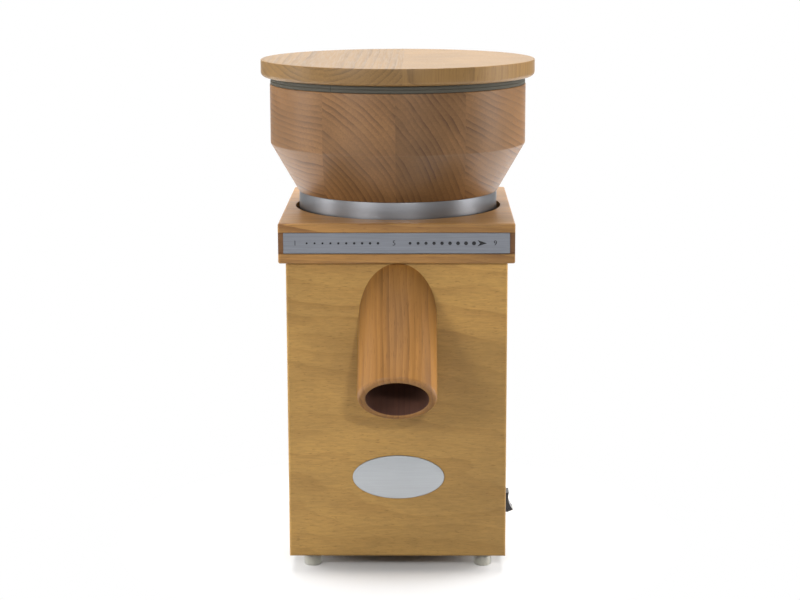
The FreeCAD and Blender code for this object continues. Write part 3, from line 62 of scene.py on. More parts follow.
def srgb(red: int, green: int, blue: int) -> Colour:
    """Turns a screen colour into the linear colour that shaders take.

    Args:
        red: Red from 0 to 255.
        green: Green from 0 to 255.
        blue: Blue from 0 to 255.

    Returns:
        The linear colour with full alpha.
    """
    def linear(level: int) -> float:
        """One channel from screen to linear light."""
        share = level / 255
        return share / 12.92 if share <= 0.04045 else ((share + 0.055) / 1.055) ** 2.4
    return (linear(red), linear(green), linear(blue), 1.0)


@dataclass(frozen=True)
class Layout:
    """Places that the pieces are fitted to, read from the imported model, in metres."""

    axis_y: float
    case_low: Vector
    head_low: Vector
    lid_low: Vector
    lid_high: Vector
    bowl_low: Vector
    bowl_high: Vector

    @classmethod
    def from_frame(cls) -> "Layout":
        """Reads the layout from the CAD nodes' boxes."""
        head_low, head_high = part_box("head_block")
        axis_y = (head_low.y + head_high.y) / 2
        return cls(axis_y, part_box("front_panel")[0], head_low, *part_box("lid"), *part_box("hopper_bowl"))


LAYOUT = Layout.from_frame()


class Nodes:
    """A short way to add and link shader or geometry nodes in one tree."""

    def __init__(self, tree: bpy.types.NodeTree) -> None:
        """Keeps the tree that the nodes go in."""
        self.tree = tree

    def add(self, kind: str, **inputs: object) -> bpy.types.Node:
        """Adds a node and sets its inputs and properties.

        Args:
            kind: The node's type name.
            **inputs: Values or output sockets by input name, with spaces as underscores, or by
                number as in_0. A name that is no input is set as a property.

        Returns:
            The new node.
        """
        node = self.tree.nodes.new(kind)
        properties = {name: value for name, value in inputs.items() if hasattr(node, name)}
        for name, value in properties.items():
            setattr(node, name, value)
        for name, value in inputs.items():
            if name not in properties:
                self.feed(node, name, value)
        return node

    def feed(self, node: bpy.types.Node, name: str, value: object) -> None:
        """Sets or links one input of a node."""
        key = int(name[3:]) if name.startswith("in_") else name.replace("_", " ")
        socket = node.inputs[key]
        if isinstance(value, bpy.types.NodeSocket):
            self.tree.links.new(value, socket)
        else:
            socket.default_value = value

    def math(self, operation: str, *terms: object) -> bpy.types.NodeSocket:
        """Adds a Math node and returns its output."""
        node = self.tree.nodes.new("ShaderNodeMath")
        node.operation = operation
        for number, term in enumerate(terms):
            self.feed(node, "in_%d" % number, term)
        return node.outputs[0]

    def mix(self, factor: object, first: object, second: object, blend: str = "MIX") -> bpy.types.NodeSocket:
        """Mixes two colours and returns the result."""
        node = self.tree.nodes.new("ShaderNodeMix")
        node.data_type = "RGBA"
        node.blend_type = blend
        self.feed(node, "in_0", factor)
        self.feed(node, "in_6", first)
        self.feed(node, "in_7", second)
        return node.outputs[2]

    def span(self, value: object, low: float, high: float, to_low: float = 0.0,
             to_high: float = 1.0) -> bpy.types.NodeSocket:
        """Maps a value smoothly from one range to another."""
        node = self.add("ShaderNodeMapRange", interpolation_type="SMOOTHSTEP", Value=value, From_Min=low,
                        From_Max=high, To_Min=to_low, To_Max=to_high)
        return node.outputs[0]

    def noise(self, vector: object, scale: object, detail: float = 3.0,
              roughness: float = 0.5) -> bpy.types.NodeSocket:
        """Adds a noise and returns its value."""
        node = self.add("ShaderNodeTexNoise", Vector=vector, Scale=scale, Detail=detail, Roughness=roughness)
        return node.outputs[0]

    def stretch(self, vector: object, scale: Point, place: Point = (0.0, 0.0, 0.0)) -> bpy.types.NodeSocket:
        """Scales a vector along its axes."""
        node = self.add("ShaderNodeMapping", Vector=vector, Scale=scale, Location=place)
        return node.outputs[0]

    def place(self) -> bpy.types.NodeSocket:
        """The shaded point in the piece's own coordinates."""
        return self.add("ShaderNodeTexCoord").outputs["Object"]

    def group(self, tree: bpy.types.NodeTree, **inputs: object) -> bpy.types.Node:
        """Adds a shader group and sets its inputs, as add does."""
        node = self.tree.nodes.new("ShaderNodeGroup")
        node.node_tree = tree
        for name, value in inputs.items():
            self.feed(node, name, value)
        return node

    def shaded(self, colour: object, level: object) -> bpy.types.NodeSocket:
        """Multiplies a colour by a grey level."""
        grey = self.add("ShaderNodeCombineColor", Red=level, Green=level, Blue=level)
        return self.mix(1.0, colour, grey.outputs[0], "MULTIPLY")

    def emboss(self, shader: bpy.types.Node, strength: float, distance: float, height: object) -> None:
        """Gives a shader a bumpy surface."""
        bump = self.add("ShaderNodeBump", Strength=strength, Distance=distance, Height=height)
        self.feed(shader, "Normal", bump.outputs[0])


def new_group(name: str, inputs: list[tuple[str, str, object]], outputs: list[str]) -> tuple[
        bpy.types.NodeTree, bpy.types.bpy_prop_collection, bpy.types.bpy_prop_collection]:
    """Makes an empty shader group with named sockets.

    Args:
        name: The group's name.
        inputs: Name, socket type and default of each input.
        outputs: Name of each output, which carries a value.

    Returns:
        The group, what its inputs give and what its outputs take, both by name.
    """
    tree = bpy.data.node_groups.new(name, "ShaderNodeTree")
    for label, kind, default in inputs:
        socket = tree.interface.new_socket(label, in_out="INPUT", socket_type=kind)
        if default is not None:
            socket.default_value = default
    for label in outputs:
        tree.interface.new_socket(label, in_out="OUTPUT", socket_type="NodeSocketFloat")
    return tree, tree.nodes.new("NodeGroupInput").outputs, tree.nodes.new("NodeGroupOutput").inputs


def growth_rings_group() -> bpy.types.NodeTree:
    """The grain of a solid log: growth rings round its Z axis, fibres along it, and fine pores.

    Returns:
        The shader group, with masks for late wood, fibre, pores and tone, and a height.
    """
    tree, given, result = new_group(
        "growth_rings",
        [("Log", "NodeSocketVector", None), ("Ring Width", "NodeSocketFloat", 0.0035),
         ("Wander", "NodeSocketFloat", 1.0), ("Sharpness", "NodeSocketFloat", 3.0)],
        ["Late Wood", "Fibre", "Pores", "Tone", "Height"])
    nodes = Nodes(tree)
    position = given["Log"]

    def drawn_out(along: float, scale: float, detail: float, roughness: float = 0.5) -> bpy.types.NodeSocket:
        """A noise that is drawn out along the pith."""
        return nodes.noise(nodes.stretch(position, (1.0, 1.0, along)), scale, detail, roughness)

    def drift(noise: bpy.types.NodeSocket, reach: float) -> bpy.types.NodeSocket:
        """How far a noise moves the rings, in ring widths."""
        away = nodes.math("SUBTRACT", noise, 0.5)
        return nodes.math("MULTIPLY", away, nodes.math("MULTIPLY", given["Wander"], reach))

    across = nodes.add("ShaderNodeVectorMath", operation="MULTIPLY", in_0=position, in_1=(1.0, 1.0, 0.0))
    length = nodes.add("ShaderNodeVectorMath", operation="LENGTH", in_0=across.outputs[0])
    rings = nodes.math("DIVIDE", length.outputs["Value"], given["Ring Width"])
    bend = drift(drawn_out(0.22, 26.0, 2.0), 3.2)
    ripple = drift(drawn_out(0.1, 140.0, 2.0), 0.5)
    count = nodes.math("ADD", nodes.math("ADD", rings, bend), ripple)
    phase = nodes.math("FRACT", count)
    rise = nodes.math("POWER", phase, given["Sharpness"])
    fall = nodes.span(phase, 0.93, 1.0, 1.0, 0.0)
    late = nodes.math("MULTIPLY", rise, fall)
    year = nodes.noise(nodes.add("ShaderNodeCombineXYZ", X=nodes.math("FLOOR", count)).outputs[0], 1.7, 0.0)
    late = nodes.math("MULTIPLY", late, nodes.span(year, 0.3, 0.7, 0.25, 1.0))
    late = nodes.math("MULTIPLY", late, nodes.span(drawn_out(0.3, 60.0, 2.0), 0.35, 0.6, 0.45, 1.0))
    fibre = drawn_out(0.03, 900.0, 3.0, 0.65)
    pores = nodes.span(drawn_out(0.09, 1500.0, 1.0), 0.62, 0.74)
    tone = drawn_out(0.3, 22.0, 3.0)
    raised = nodes.math("ADD", nodes.math("MULTIPLY", fibre, 0.5), nodes.math("MULTIPLY", late, 0.5))
    height = nodes.math("SUBTRACT", raised, nodes.math("MULTIPLY", pores, 0.6))
    masks = {"Late Wood": late, "Fibre": fibre, "Pores": pores, "Tone": tone, "Height": height}
    for name, socket in masks.items():
        tree.links.new(socket, result[name])
    return tree


def wear_group() -> bpy.types.NodeTree:
    """Fine unevenness that every handled surface has: smudges and speckle for its roughness.

    Returns:
        The shader group, with a roughness and a small height.
    """
    tree, given, result = new_group(
        "handling",
        [("Position", "NodeSocketVector", None), ("Roughness", "NodeSocketFloat", 0.5),
         ("Spread", "NodeSocketFloat", 0.1), ("Grit", "NodeSocketFloat", 900.0)],
        ["Roughness", "Height"])
    nodes = Nodes(tree)
    position = given["Position"]
    smudge = nodes.noise(position, 45.0, 4.0)
    grit = nodes.noise(position, given["Grit"], 2.0)
    change = nodes.math("MULTIPLY", nodes.math("SUBTRACT", smudge, 0.5), given["Spread"])
    tree.links.new(nodes.math("ADD", given["Roughness"], change), result["Roughness"])
    tree.links.new(grit, result["Height"])
    return tree


GROWTH_RINGS = growth_rings_group()
HANDLING = wear_group()


def start_material(name: str) -> tuple[bpy.types.Material, Nodes, bpy.types.Node]:
    """Makes a material with a Principled shader.

    Args:
        name: The material's name.

    Returns:
        The material, its nodes and the shader.
    """
    material = bpy.data.materials.new(name)
    material.use_nodes = True
    tree = material.node_tree
    shader = tree.nodes["Principled BSDF"]
    return material, Nodes(tree), shader


class Finish:
    """A surface finish that makes its own material."""

    def material(self) -> bpy.types.Material:
        """Builds the material."""
        raise NotImplementedError


@dataclass(frozen=True)
class Wood(Finish):
    """Oiled wood cut from a log, with the log's place and lean relative to the piece.

    The log's own Z axis is its pith. Where use_boards is set, the log's coordinates come from the
    piece's own "board" attribute, because it is glued from several boards.
    """

    name: str
    early: Colour
    late: Colour
    pore: Colour
    pith: Point = (0.0, 0.0, 0.0)
    lean: Point = (0.0, 0.0, 0.0)
    ring_width: float = 0.0035
    wander: float = 1.0
    sharpness: float = 2.4
    late_strength: float = 0.6
    tone_strength: float = 0.35
    roughness: float = 0.42
    coat: float = 0.08
    bump: float = 0.12
    use_boards: bool = False
    # Painted shade: a box (low and high corner) whose inside is darkened as if in shade.
    stained: tuple[Point, Point] | None = None

    def material(self) -> bpy.types.Material:
        """Builds the wood's material."""
        material, nodes, shader = start_material(self.name)
        if self.use_boards:
            position = nodes.add("ShaderNodeAttribute", attribute_name="board").outputs["Vector"]
        else:
            turn = tuple(math.radians(angle) for angle in self.lean)
            position = nodes.add("ShaderNodeMapping", vector_type="TEXTURE", Vector=nodes.place(),
                                 Location=self.pith, Rotation=turn).outputs[0]
        grain = nodes.group(GROWTH_RINGS, Log=position, Ring_Width=self.ring_width, Wander=self.wander,
                            Sharpness=self.sharpness)
        late = nodes.math("MULTIPLY", grain.outputs["Late Wood"], self.late_strength)
        body = nodes.mix(late, self.early, self.late)
        darkest, palest = 1.0 - self.tone_strength, 1.0 + self.tone_strength * 0.4
        tone = nodes.span(grain.outputs["Tone"], 0.3, 0.7, darkest, palest)
        fibre = nodes.span(grain.outputs["Fibre"], 0.25, 0.75, 0.86, 1.08)
        fibred = nodes.shaded(nodes.shaded(body, tone), fibre)
        pores = nodes.math("MULTIPLY", grain.outputs["Pores"], 0.35)
        finished = nodes.mix(pores, fibred, self.pore)
        if self.use_boards:
            tint = nodes.add("ShaderNodeAttribute", attribute_name="board_tint").outputs["Fac"]
            finished = nodes.shaded(finished, tint)
        # Painted shade: inside the box the colour is pulled towards the dark pore colour.
        if self.stained:
            finished = nodes.mix(nodes.math("MULTIPLY", self.inside(nodes), 0.75), finished, self.pore)
        rough = nodes.span(grain.outputs["Fibre"], 0.2, 0.8, self.roughness - 0.06, self.roughness + 0.1)
        values = {"Base Color": finished, "Roughness": rough, "Coat Weight": self.coat,
                  "Coat Roughness": 0.35, "Specular IOR Level": 0.4}
        for name, value in values.items():
            nodes.feed(shader, name, value)
        nodes.emboss(shader, self.bump, 0.0003, grain.outputs["Height"])
        return material

    def inside(self, nodes: Nodes) -> bpy.types.NodeSocket:
        """A mask of the painted-shade box, which is 1 inside it.

        Args:
            nodes: The material's nodes.

        Returns:
            The mask.
        """
        place = nodes.add("ShaderNodeSeparateXYZ", Vector=nodes.place())
        mask = nodes.math("ADD", 1.0, 0.0)
        for axis, low, high in zip("YZ", self.stained[0][1:], self.stained[1][1:]):
            above = nodes.math("GREATER_THAN", place.outputs[axis], low)
            below = nodes.math("LESS_THAN", place.outputs[axis], high)
            mask = nodes.math("MULTIPLY", mask, nodes.math("MULTIPLY", above, below))
        return mask


class Brushing(Enum):
    """Which way the fine lines on a metal run."""

    NONE = (1.0, 1.0, 1.0)
    ALONG_X = (0.02, 1.0, 1.0)
    ROUND_AXIS = (0.04, 0.04, 1.0)


@dataclass(frozen=True)
class Metal(Finish):
    """Bare, cast or brushed metal."""

    name: str
    colour: Colour
    roughness: float = 0.35
    brushing: Brushing = Brushing.NONE
    grain_scale: float = 1600.0
    bump: float = 0.05
    shade: float = 0.08

    def material(self) -> bpy.types.Material:
        """Builds the metal's material."""
        material, nodes, shader = start_material(self.name)
        position = nodes.place()
        lines = nodes.noise(nodes.stretch(position, self.brushing.value), self.grain_scale, 2.0, 0.7)
        handled = nodes.group(HANDLING, Position=position, Roughness=self.roughness, Spread=0.12)
        level = nodes.span(lines, 0.3, 0.7, 1.0 - self.shade, 1.0)
        rough = nodes.math("ADD", handled.outputs["Roughness"], nodes.math("MULTIPLY", lines, 0.1))
        nodes.feed(shader, "Base Color", nodes.shaded(self.colour, level))
        nodes.feed(shader, "Roughness", rough)
        nodes.feed(shader, "Metallic", 1.0)
        nodes.emboss(shader, self.bump, 0.0002, lines)
        return material


@dataclass(frozen=True)
class Plastic(Finish):
    """Moulded plastic or rubber, with a fine eroded texture."""

    name: str
    colour: Colour
    roughness: float = 0.45
    bump: float = 0.08
    grit: float = 1400.0
    see_through: float = 0.0
    variation: float = 0.06

    def material(self) -> bpy.types.Material:
        """Builds the plastic's material."""
        material, nodes, shader = start_material(self.name)
        position = nodes.place()
        handled = nodes.group(HANDLING, Position=position, Roughness=self.roughness, Spread=0.18,
                              Grit=self.grit)
        cloud = nodes.span(nodes.noise(position, 60.0), 0.3, 0.7, 1.0 - self.variation, 1.0)
        nodes.feed(shader, "Base Color", nodes.shaded(self.colour, cloud))
        nodes.feed(shader, "Roughness", handled.outputs["Roughness"])
        nodes.feed(shader, "Transmission Weight", self.see_through)
        nodes.emboss(shader, self.bump, 0.0002, handled.outputs["Height"])
        return material


@dataclass(frozen=True)
class Stone(Finish):
    """Coarse bonded abrasive: pale grains in a darker bond."""

    name: str = "millstone"
    grain: Colour = field(default_factory=lambda: srgb(214, 208, 196))
    bond: Colour = field(default_factory=lambda: srgb(168, 160, 146))

    def material(self) -> bpy.types.Material:
        """Builds the stone's material."""
        material, nodes, shader = start_material(self.name)
        distance = nodes.add("ShaderNodeTexVoronoi", Vector=nodes.place(), Scale=900.0).outputs["Distance"]
        nodes.feed(shader, "Base Color", nodes.mix(nodes.span(distance, 0.1, 0.6), self.grain, self.bond))
        nodes.feed(shader, "Roughness", 0.9)
        nodes.emboss(shader, 0.5, 0.0006, distance)
        return material


@dataclass(frozen=True)
class Wound(Finish):
    """Enamelled wire or stacked sheet: fine bands that repeat along the axis."""

    name: str
    bright: Colour
    dark: Colour
    pitch: float
    roughness: float = 0.35

    def material(self) -> bpy.types.Material:
        """Builds the banded material."""
        material, nodes, shader = start_material(self.name)
        position = nodes.place()
        height = nodes.add("ShaderNodeSeparateXYZ", Vector=position).outputs["Z"]
        uneven = nodes.math("MULTIPLY", nodes.noise(position, 120.0), 0.6)
        phase = nodes.math("FRACT", nodes.math("ADD", nodes.math("DIVIDE", height, self.pitch), uneven))
        edge = nodes.span(nodes.math("PINGPONG", phase, 0.5), 0.0, 0.25)
        nodes.feed(shader, "Base Color", nodes.mix(edge, self.dark, self.bright))
        nodes.feed(shader, "Roughness", self.roughness)
        nodes.feed(shader, "Metallic", 1.0)
        nodes.emboss(shader, 0.5, 0.0002, edge)
        return material


CASE_WOOD = Wood("case_wood", srgb(190, 148, 80), srgb(150, 108, 52), srgb(112, 78, 38),
                 pith=(0.10, 0.34, -0.36), lean=(0.0, 90.0, 8.0), ring_width=0.011, wander=1.3, sharpness=1.6,
                 late_strength=0.55, tone_strength=0.22)
SIDE_WOOD = replace(CASE_WOOD, name="side_wood", pith=(0.34, 0.0, -0.30), lean=(90.0, 0.0, 6.0))
HEAD_WOOD = Wood("head_wood", srgb(176, 130, 72), srgb(106, 64, 34), srgb(98, 60, 34),
                 pith=(0.0, 0.16, 0.11), lean=(0.0, 90.0, 3.0), ring_width=0.0042, wander=1.2, sharpness=1.6,
                 late_strength=0.75, tone_strength=0.3,
                 # Painted shade in the recess of the scale groove on the head's front.
                 stained=((0.0, LAYOUT.head_low.y + 0.3 * MM, LAYOUT.head_low.z + 6.2 * MM),
                          (0.0, LAYOUT.head_low.y + 2.4 * MM, LAYOUT.head_low.z + 20.2 * MM)))
HOPPER_WOOD = Wood("hopper_wood", srgb(142, 103, 64), srgb(76, 49, 31), srgb(78, 51, 34), use_boards=True,
                   ring_width=0.0038, wander=0.5, sharpness=1.7, late_strength=0.9, tone_strength=0.22)
LID_WOOD = Wood("lid_wood", srgb(145, 111, 64), srgb(70, 49, 27), srgb(90, 64, 38), use_boards=True,
                ring_width=0.0034, wander=0.35, sharpness=2.4, late_strength=0.7, tone_strength=0.12)
SPOUT_WOOD = Wood("spout_wood", srgb(164, 115, 56), srgb(96, 55, 24), srgb(86, 52, 26), use_boards=True,
                  ring_width=0.0042, wander=1.1, sharpness=1.3, late_strength=0.6, tone_strength=0.35)
# Painted shade: darker wood for the spout's bore, which stands in for the shade deep inside it.
BORE_SHADE_WOOD = Wood("bore_painted_shade", srgb(92, 58, 44), srgb(70, 42, 32), srgb(60, 36, 28), use_boards=True,
                 ring_width=0.0036, wander=0.35, coat=0.0, roughness=0.7)
RAW_WOOD = Wood("raw_wood", srgb(196, 164, 118), srgb(168, 130, 84), srgb(140, 104, 66), coat=0.0,
                roughness=0.7)
PLY_WOOD = Wood("ply_wood", srgb(176, 140, 96), srgb(150, 112, 70), srgb(110, 80, 50), pith=(0.0, 0.0, -0.4),
                lean=(0.0, 90.0, 0.0), ring_width=0.012, coat=0.0, roughness=0.7)

STRIP_METAL = Metal("strip_metal", srgb(132, 135, 142), 0.38, Brushing.ALONG_X, shade=0.14)
BADGE_METAL = Metal("badge_metal", srgb(166, 169, 172), 0.42, Brushing.ALONG_X, shade=0.06)
BADGE_RIM = Metal("badge_rim", srgb(92, 84, 78), 0.4)
COLLAR_METAL = Metal("collar_metal", srgb(150, 151, 155), 0.36, Brushing.ROUND_AXIS, shade=0.05)
CAST_METAL = Metal("cast_metal", srgb(176, 177, 178), 0.5, grain_scale=500.0, bump=0.25)
STEEL = Metal("steel", srgb(178, 178, 180), 0.28, grain_scale=900.0)
BRASS = Metal("brass", srgb(206, 172, 96), 0.3)
BLACK_PLASTIC = Plastic("black_plastic", srgb(30, 29, 30), 0.4)
ROCKER_PLASTIC = Plastic("rocker_plastic", srgb(34, 32, 33), 0.3, bump=0.03)
WHITE_PLASTIC = Plastic("white_plastic", srgb(222, 220, 210), 0.4)
FOOT_RUBBER = Plastic("foot_rubber", srgb(246, 245, 236), 0.3, see_through=0.85)
SEAL_RUBBER = Plastic("seal_rubber", srgb(72, 69, 59), 0.65)
SEAM_DARK = Plastic("seam_dark", srgb(42, 40, 36), 0.7)
FELT = Plastic("felt", srgb(150, 146, 134), 0.95, bump=0.6, grit=2600.0)
INK = Plastic("ink", srgb(14, 14, 18), 0.75)
STONE = Stone()
COPPER = Wound("copper_winding", srgb(176, 96, 46), srgb(90, 44, 22), 0.0011)
SHEET_STACK = Wound("sheet_stack", srgb(120, 122, 126), srgb(60, 62, 66), 0.0006, 0.5)

MATERIALS: dict[str, bpy.types.Material] = {}


def material_of(finish: Finish) -> bpy.types.Material:
    """Builds a finish's material once and returns it."""
    if finish.name not in MATERIALS:
        MATERIALS[finish.name] = finish.material()
    return MATERIALS[finish.name]


def put(name: str, data: bpy.types.ID) -> bpy.types.Object:
    """Makes an object from its data and links it to the scene."""
    item = bpy.data.objects.new(name, data)
    bpy.context.scene.collection.objects.link(item)
    return item


def plain_mesh(drawn: bpy.types.Object, name: str) -> bpy.types.Mesh:
    """Turns what an object's nodes or curve draw into a plain mesh, and removes that object."""
    evaluated = drawn.evaluated_get(bpy.context.evaluated_depsgraph_get())
    mesh = bpy.data.meshes.new_from_object(evaluated)
    mesh.name = name
    bpy.data.objects.remove(drawn)
    return mesh


def new_object(name: str, mesh: bmesh.types.BMesh) -> bpy.types.Object:
    """Turns a bmesh into an object with outward faces.

    Args:
        name: The piece's name.
        mesh: The mesh, which is freed.

    Returns:
        The new object, at the origin.
    """
    bmesh.ops.remove_doubles(mesh, verts=mesh.verts, dist=TOUCHING)
    bmesh.ops.recalc_face_normals(mesh, faces=mesh.faces)
    data = bpy.data.meshes.new(name)
    mesh.to_mesh(data)
    mesh.free()
    return put(name, data)


def report(piece: bpy.types.Object, body: str, slot: str, *replaced: str) -> None:
    """Rides a piece on its body, hides the nodes that it stands for, and logs it."""
    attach(piece, body)
    if replaced:
        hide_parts(*replaced)
    log.info("%s rides on %s, %d faces", piece.name, body, len(piece.data.polygons))


def dress(piece: bpy.types.Object, finish: Finish, *place: str, smooth_angle: float = 32.0) -> None:
    """Gives a piece its material and smooth shading up to an angle, and reports it.

    Args:
        piece: The piece.
        finish: Its finish.
        *place: Its body and slot and the nodes that it stands for, as report takes them; the slot is not
                used.
        smooth_angle: Edges sharper than this many degrees stay sharp.
    """
    piece.data.materials.clear()
    piece.data.materials.append(material_of(finish))
    piece.data.shade_smooth()
    limit = math.radians(smooth_angle)
    mesh = bmesh.new()
    mesh.from_mesh(piece.data)
    for edge in mesh.edges:
        edge.smooth = len(edge.link_faces) == 2 and edge.calc_face_angle(0.0) < limit
    mesh.to_mesh(piece.data)
    mesh.free()
    report(piece, *place)


def rounded(corners: list[tuple], steps: int = 6) -> Outline:
    """Rounds the corners of an outline.

    Args:
        corners: (x, y) or (x, y, radius) for each corner.
        steps: Segments in each rounding.

    Returns:
        The outline's points.
    """
    points: Outline = []
    count = len(corners)
    for index, corner in enumerate(corners):
        here = Vector(corner[:2])
        if len(corner) == 2:
            points.append((here.x, here.y))
            continue
        to_last = (Vector(corners[index - 1][:2]) - here).normalized()
        to_next = (Vector(corners[(index + 1) % count][:2]) - here).normalized()
        half = to_last.angle(to_next) / 2
        reach = corner[2] / math.tan(half)
        start, end = here + to_last * reach, here + to_next * reach
        centre = here + (to_last + to_next).normalized() * (corner[2] / math.sin(half))
        for step in range(steps + 1):
            blend = start.lerp(end, step / steps)
            point = centre + (blend - centre).normalized() * corner[2]
            points.append((point.x, point.y))
    return points


def bridge(mesh: bmesh.types.BMesh, first: Ring, second: Ring) -> None:
    """Joins two rings of as many points with faces, which are triangles where a ring is one pole."""
    count = len(first)
    for k in range(count):
        corners = [first[k], first[(k + 1) % count], second[(k + 1) % count], second[k]]
        unique = list(dict.fromkeys(corners))
        if len(unique) > 2:
            mesh.faces.new(unique)


def lathe(outline: Outline, segments: int) -> bmesh.types.BMesh:
    """Turns a closed outline of (radius, height) round the Z axis.

    Args:
        outline: The outline's points. Points on the axis become poles.
        segments: Steps round the axis.

    Returns:
        The turned mesh.
    """
    mesh = bmesh.new()
    rings = []
    for radius, height in outline:
        if radius < TOUCHING:
            rings.append([mesh.verts.new((0.0, 0.0, height))] * segments)
            continue
        rings.append([mesh.verts.new((radius * math.cos(2 * math.pi * k / segments),
                                      radius * math.sin(2 * math.pi * k / segments), height))
                      for k in range(segments)])
    for index, ring in enumerate(rings):
        bridge(mesh, ring, rings[(index + 1) % len(rings)])
    return mesh


def densify(outline: Outline, step: float) -> Outline:
    """Adds points to a closed outline so that no stretch off the axis is longer than a step."""
    dense: Outline = []
    for index, (radius, height) in enumerate(outline):
        next_radius, next_height = outline[(index + 1) % len(outline)]
        length = math.dist((radius, height), (next_radius, next_height))
        on_axis = max(radius, next_radius) < TOUCHING
        parts = 1 if on_axis else max(1, math.ceil(length / step))
        for part in range(parts):
            share = part / parts
            dense.append((radius + (next_radius - radius) * share, height + (next_height - height) * share))
    return dense


def shift(mesh: bmesh.types.BMesh, offset: Point) -> bmesh.types.BMesh:
    """Moves a mesh and returns it."""
    bmesh.ops.translate(mesh, verts=mesh.verts, vec=offset)
    return mesh


def block(size: Point) -> bmesh.types.BMesh:
    """A cuboid about the origin."""
    mesh = bmesh.new()
    bmesh.ops.create_cube(mesh, size=1.0)
    bmesh.ops.scale(mesh, verts=mesh.verts, vec=size)
    return mesh


def slice_off(mesh: bmesh.types.BMesh, point: Point, normal: Point, clear: bool = False) -> dict[str, list]:
    """Cuts a mesh along a plane.

    Args:
        mesh: The mesh.
        point: A point of the plane.
        normal: The plane's normal.
        clear: Whether what lies on the normal's side goes.

    Returns:
        The cut's result, with its new edges under geom_cut.
    """
    everything = mesh.verts[:] + mesh.edges[:] + mesh.faces[:]
    return bmesh.ops.bisect_plane(mesh, geom=everything, dist=TOUCHING, plane_co=point, plane_no=normal,
                                  clear_outer=clear)


@dataclass(frozen=True)
class Board:
    """One board of a glued block: where it ends, and where the pith of its log lies."""

    right_edge: float
    pith_x: float
    pith_z: float
    lean: float = 0.0
    shift: float = 0.0
    tint: float = 1.0


def store(piece: bpy.types.Object, name: str, kind: str, domain: str, values: list[float]) -> None:
    """Writes a list of values to a new attribute of a piece's mesh.

    Args:
        piece: The piece.
        name: The attribute's name.
        kind: Its data type, FLOAT or FLOAT_VECTOR.
        domain: What carries the values, POINT or CORNER.
        values: The values in a row, three for each place of a FLOAT_VECTOR.
    """
    attribute = piece.data.attributes.new(name, kind, domain)
    attribute.data.foreach_set("vector" if kind == "FLOAT_VECTOR" else "value", values)


def lay_boards(piece: bpy.types.Object, boards: list[Board], axis: Point) -> None:
    """Writes each face corner's place in its own board's log to the "board" attribute.

    The boards lie side by side across X with their grain along Y.

    Args:
        piece: The piece, whose faces are cut at the joints first.
        boards: The boards from left to right, with sizes relative to the axis.
        axis: The place that the boards' sizes are measured from.
    """
    mesh = bmesh.new()
    mesh.from_mesh(piece.data)
    for board in boards[:-1]:
        slice_off(mesh, (axis[0] + board.right_edge, 0.0, 0.0), (1.0, 0.0, 0.0))
    mesh.to_mesh(piece.data)
    mesh.free()
    places = [0.0] * (3 * len(piece.data.loops))
    tints = [1.0] * len(piece.data.loops)
    for polygon in piece.data.polygons:
        middle = polygon.center.x - axis[0]
        board = next((item for item in boards if middle < item.right_edge), boards[-1])
        turn = Matrix.Rotation(math.radians(board.lean), 3, "X")
        for loop in polygon.loop_indices:
            place = piece.data.vertices[piece.data.loops[loop].vertex_index].co
            local = turn @ Vector((place.x - axis[0] - board.pith_x, place.z - axis[2] - board.pith_z,
                                   place.y - axis[1] + board.shift))
            places[3 * loop:3 * loop + 3] = local
            tints[loop] = board.tint
    store(piece, "board", "FLOAT_VECTOR", "CORNER", places)
    store(piece, "board_tint", "FLOAT", "CORNER", tints)


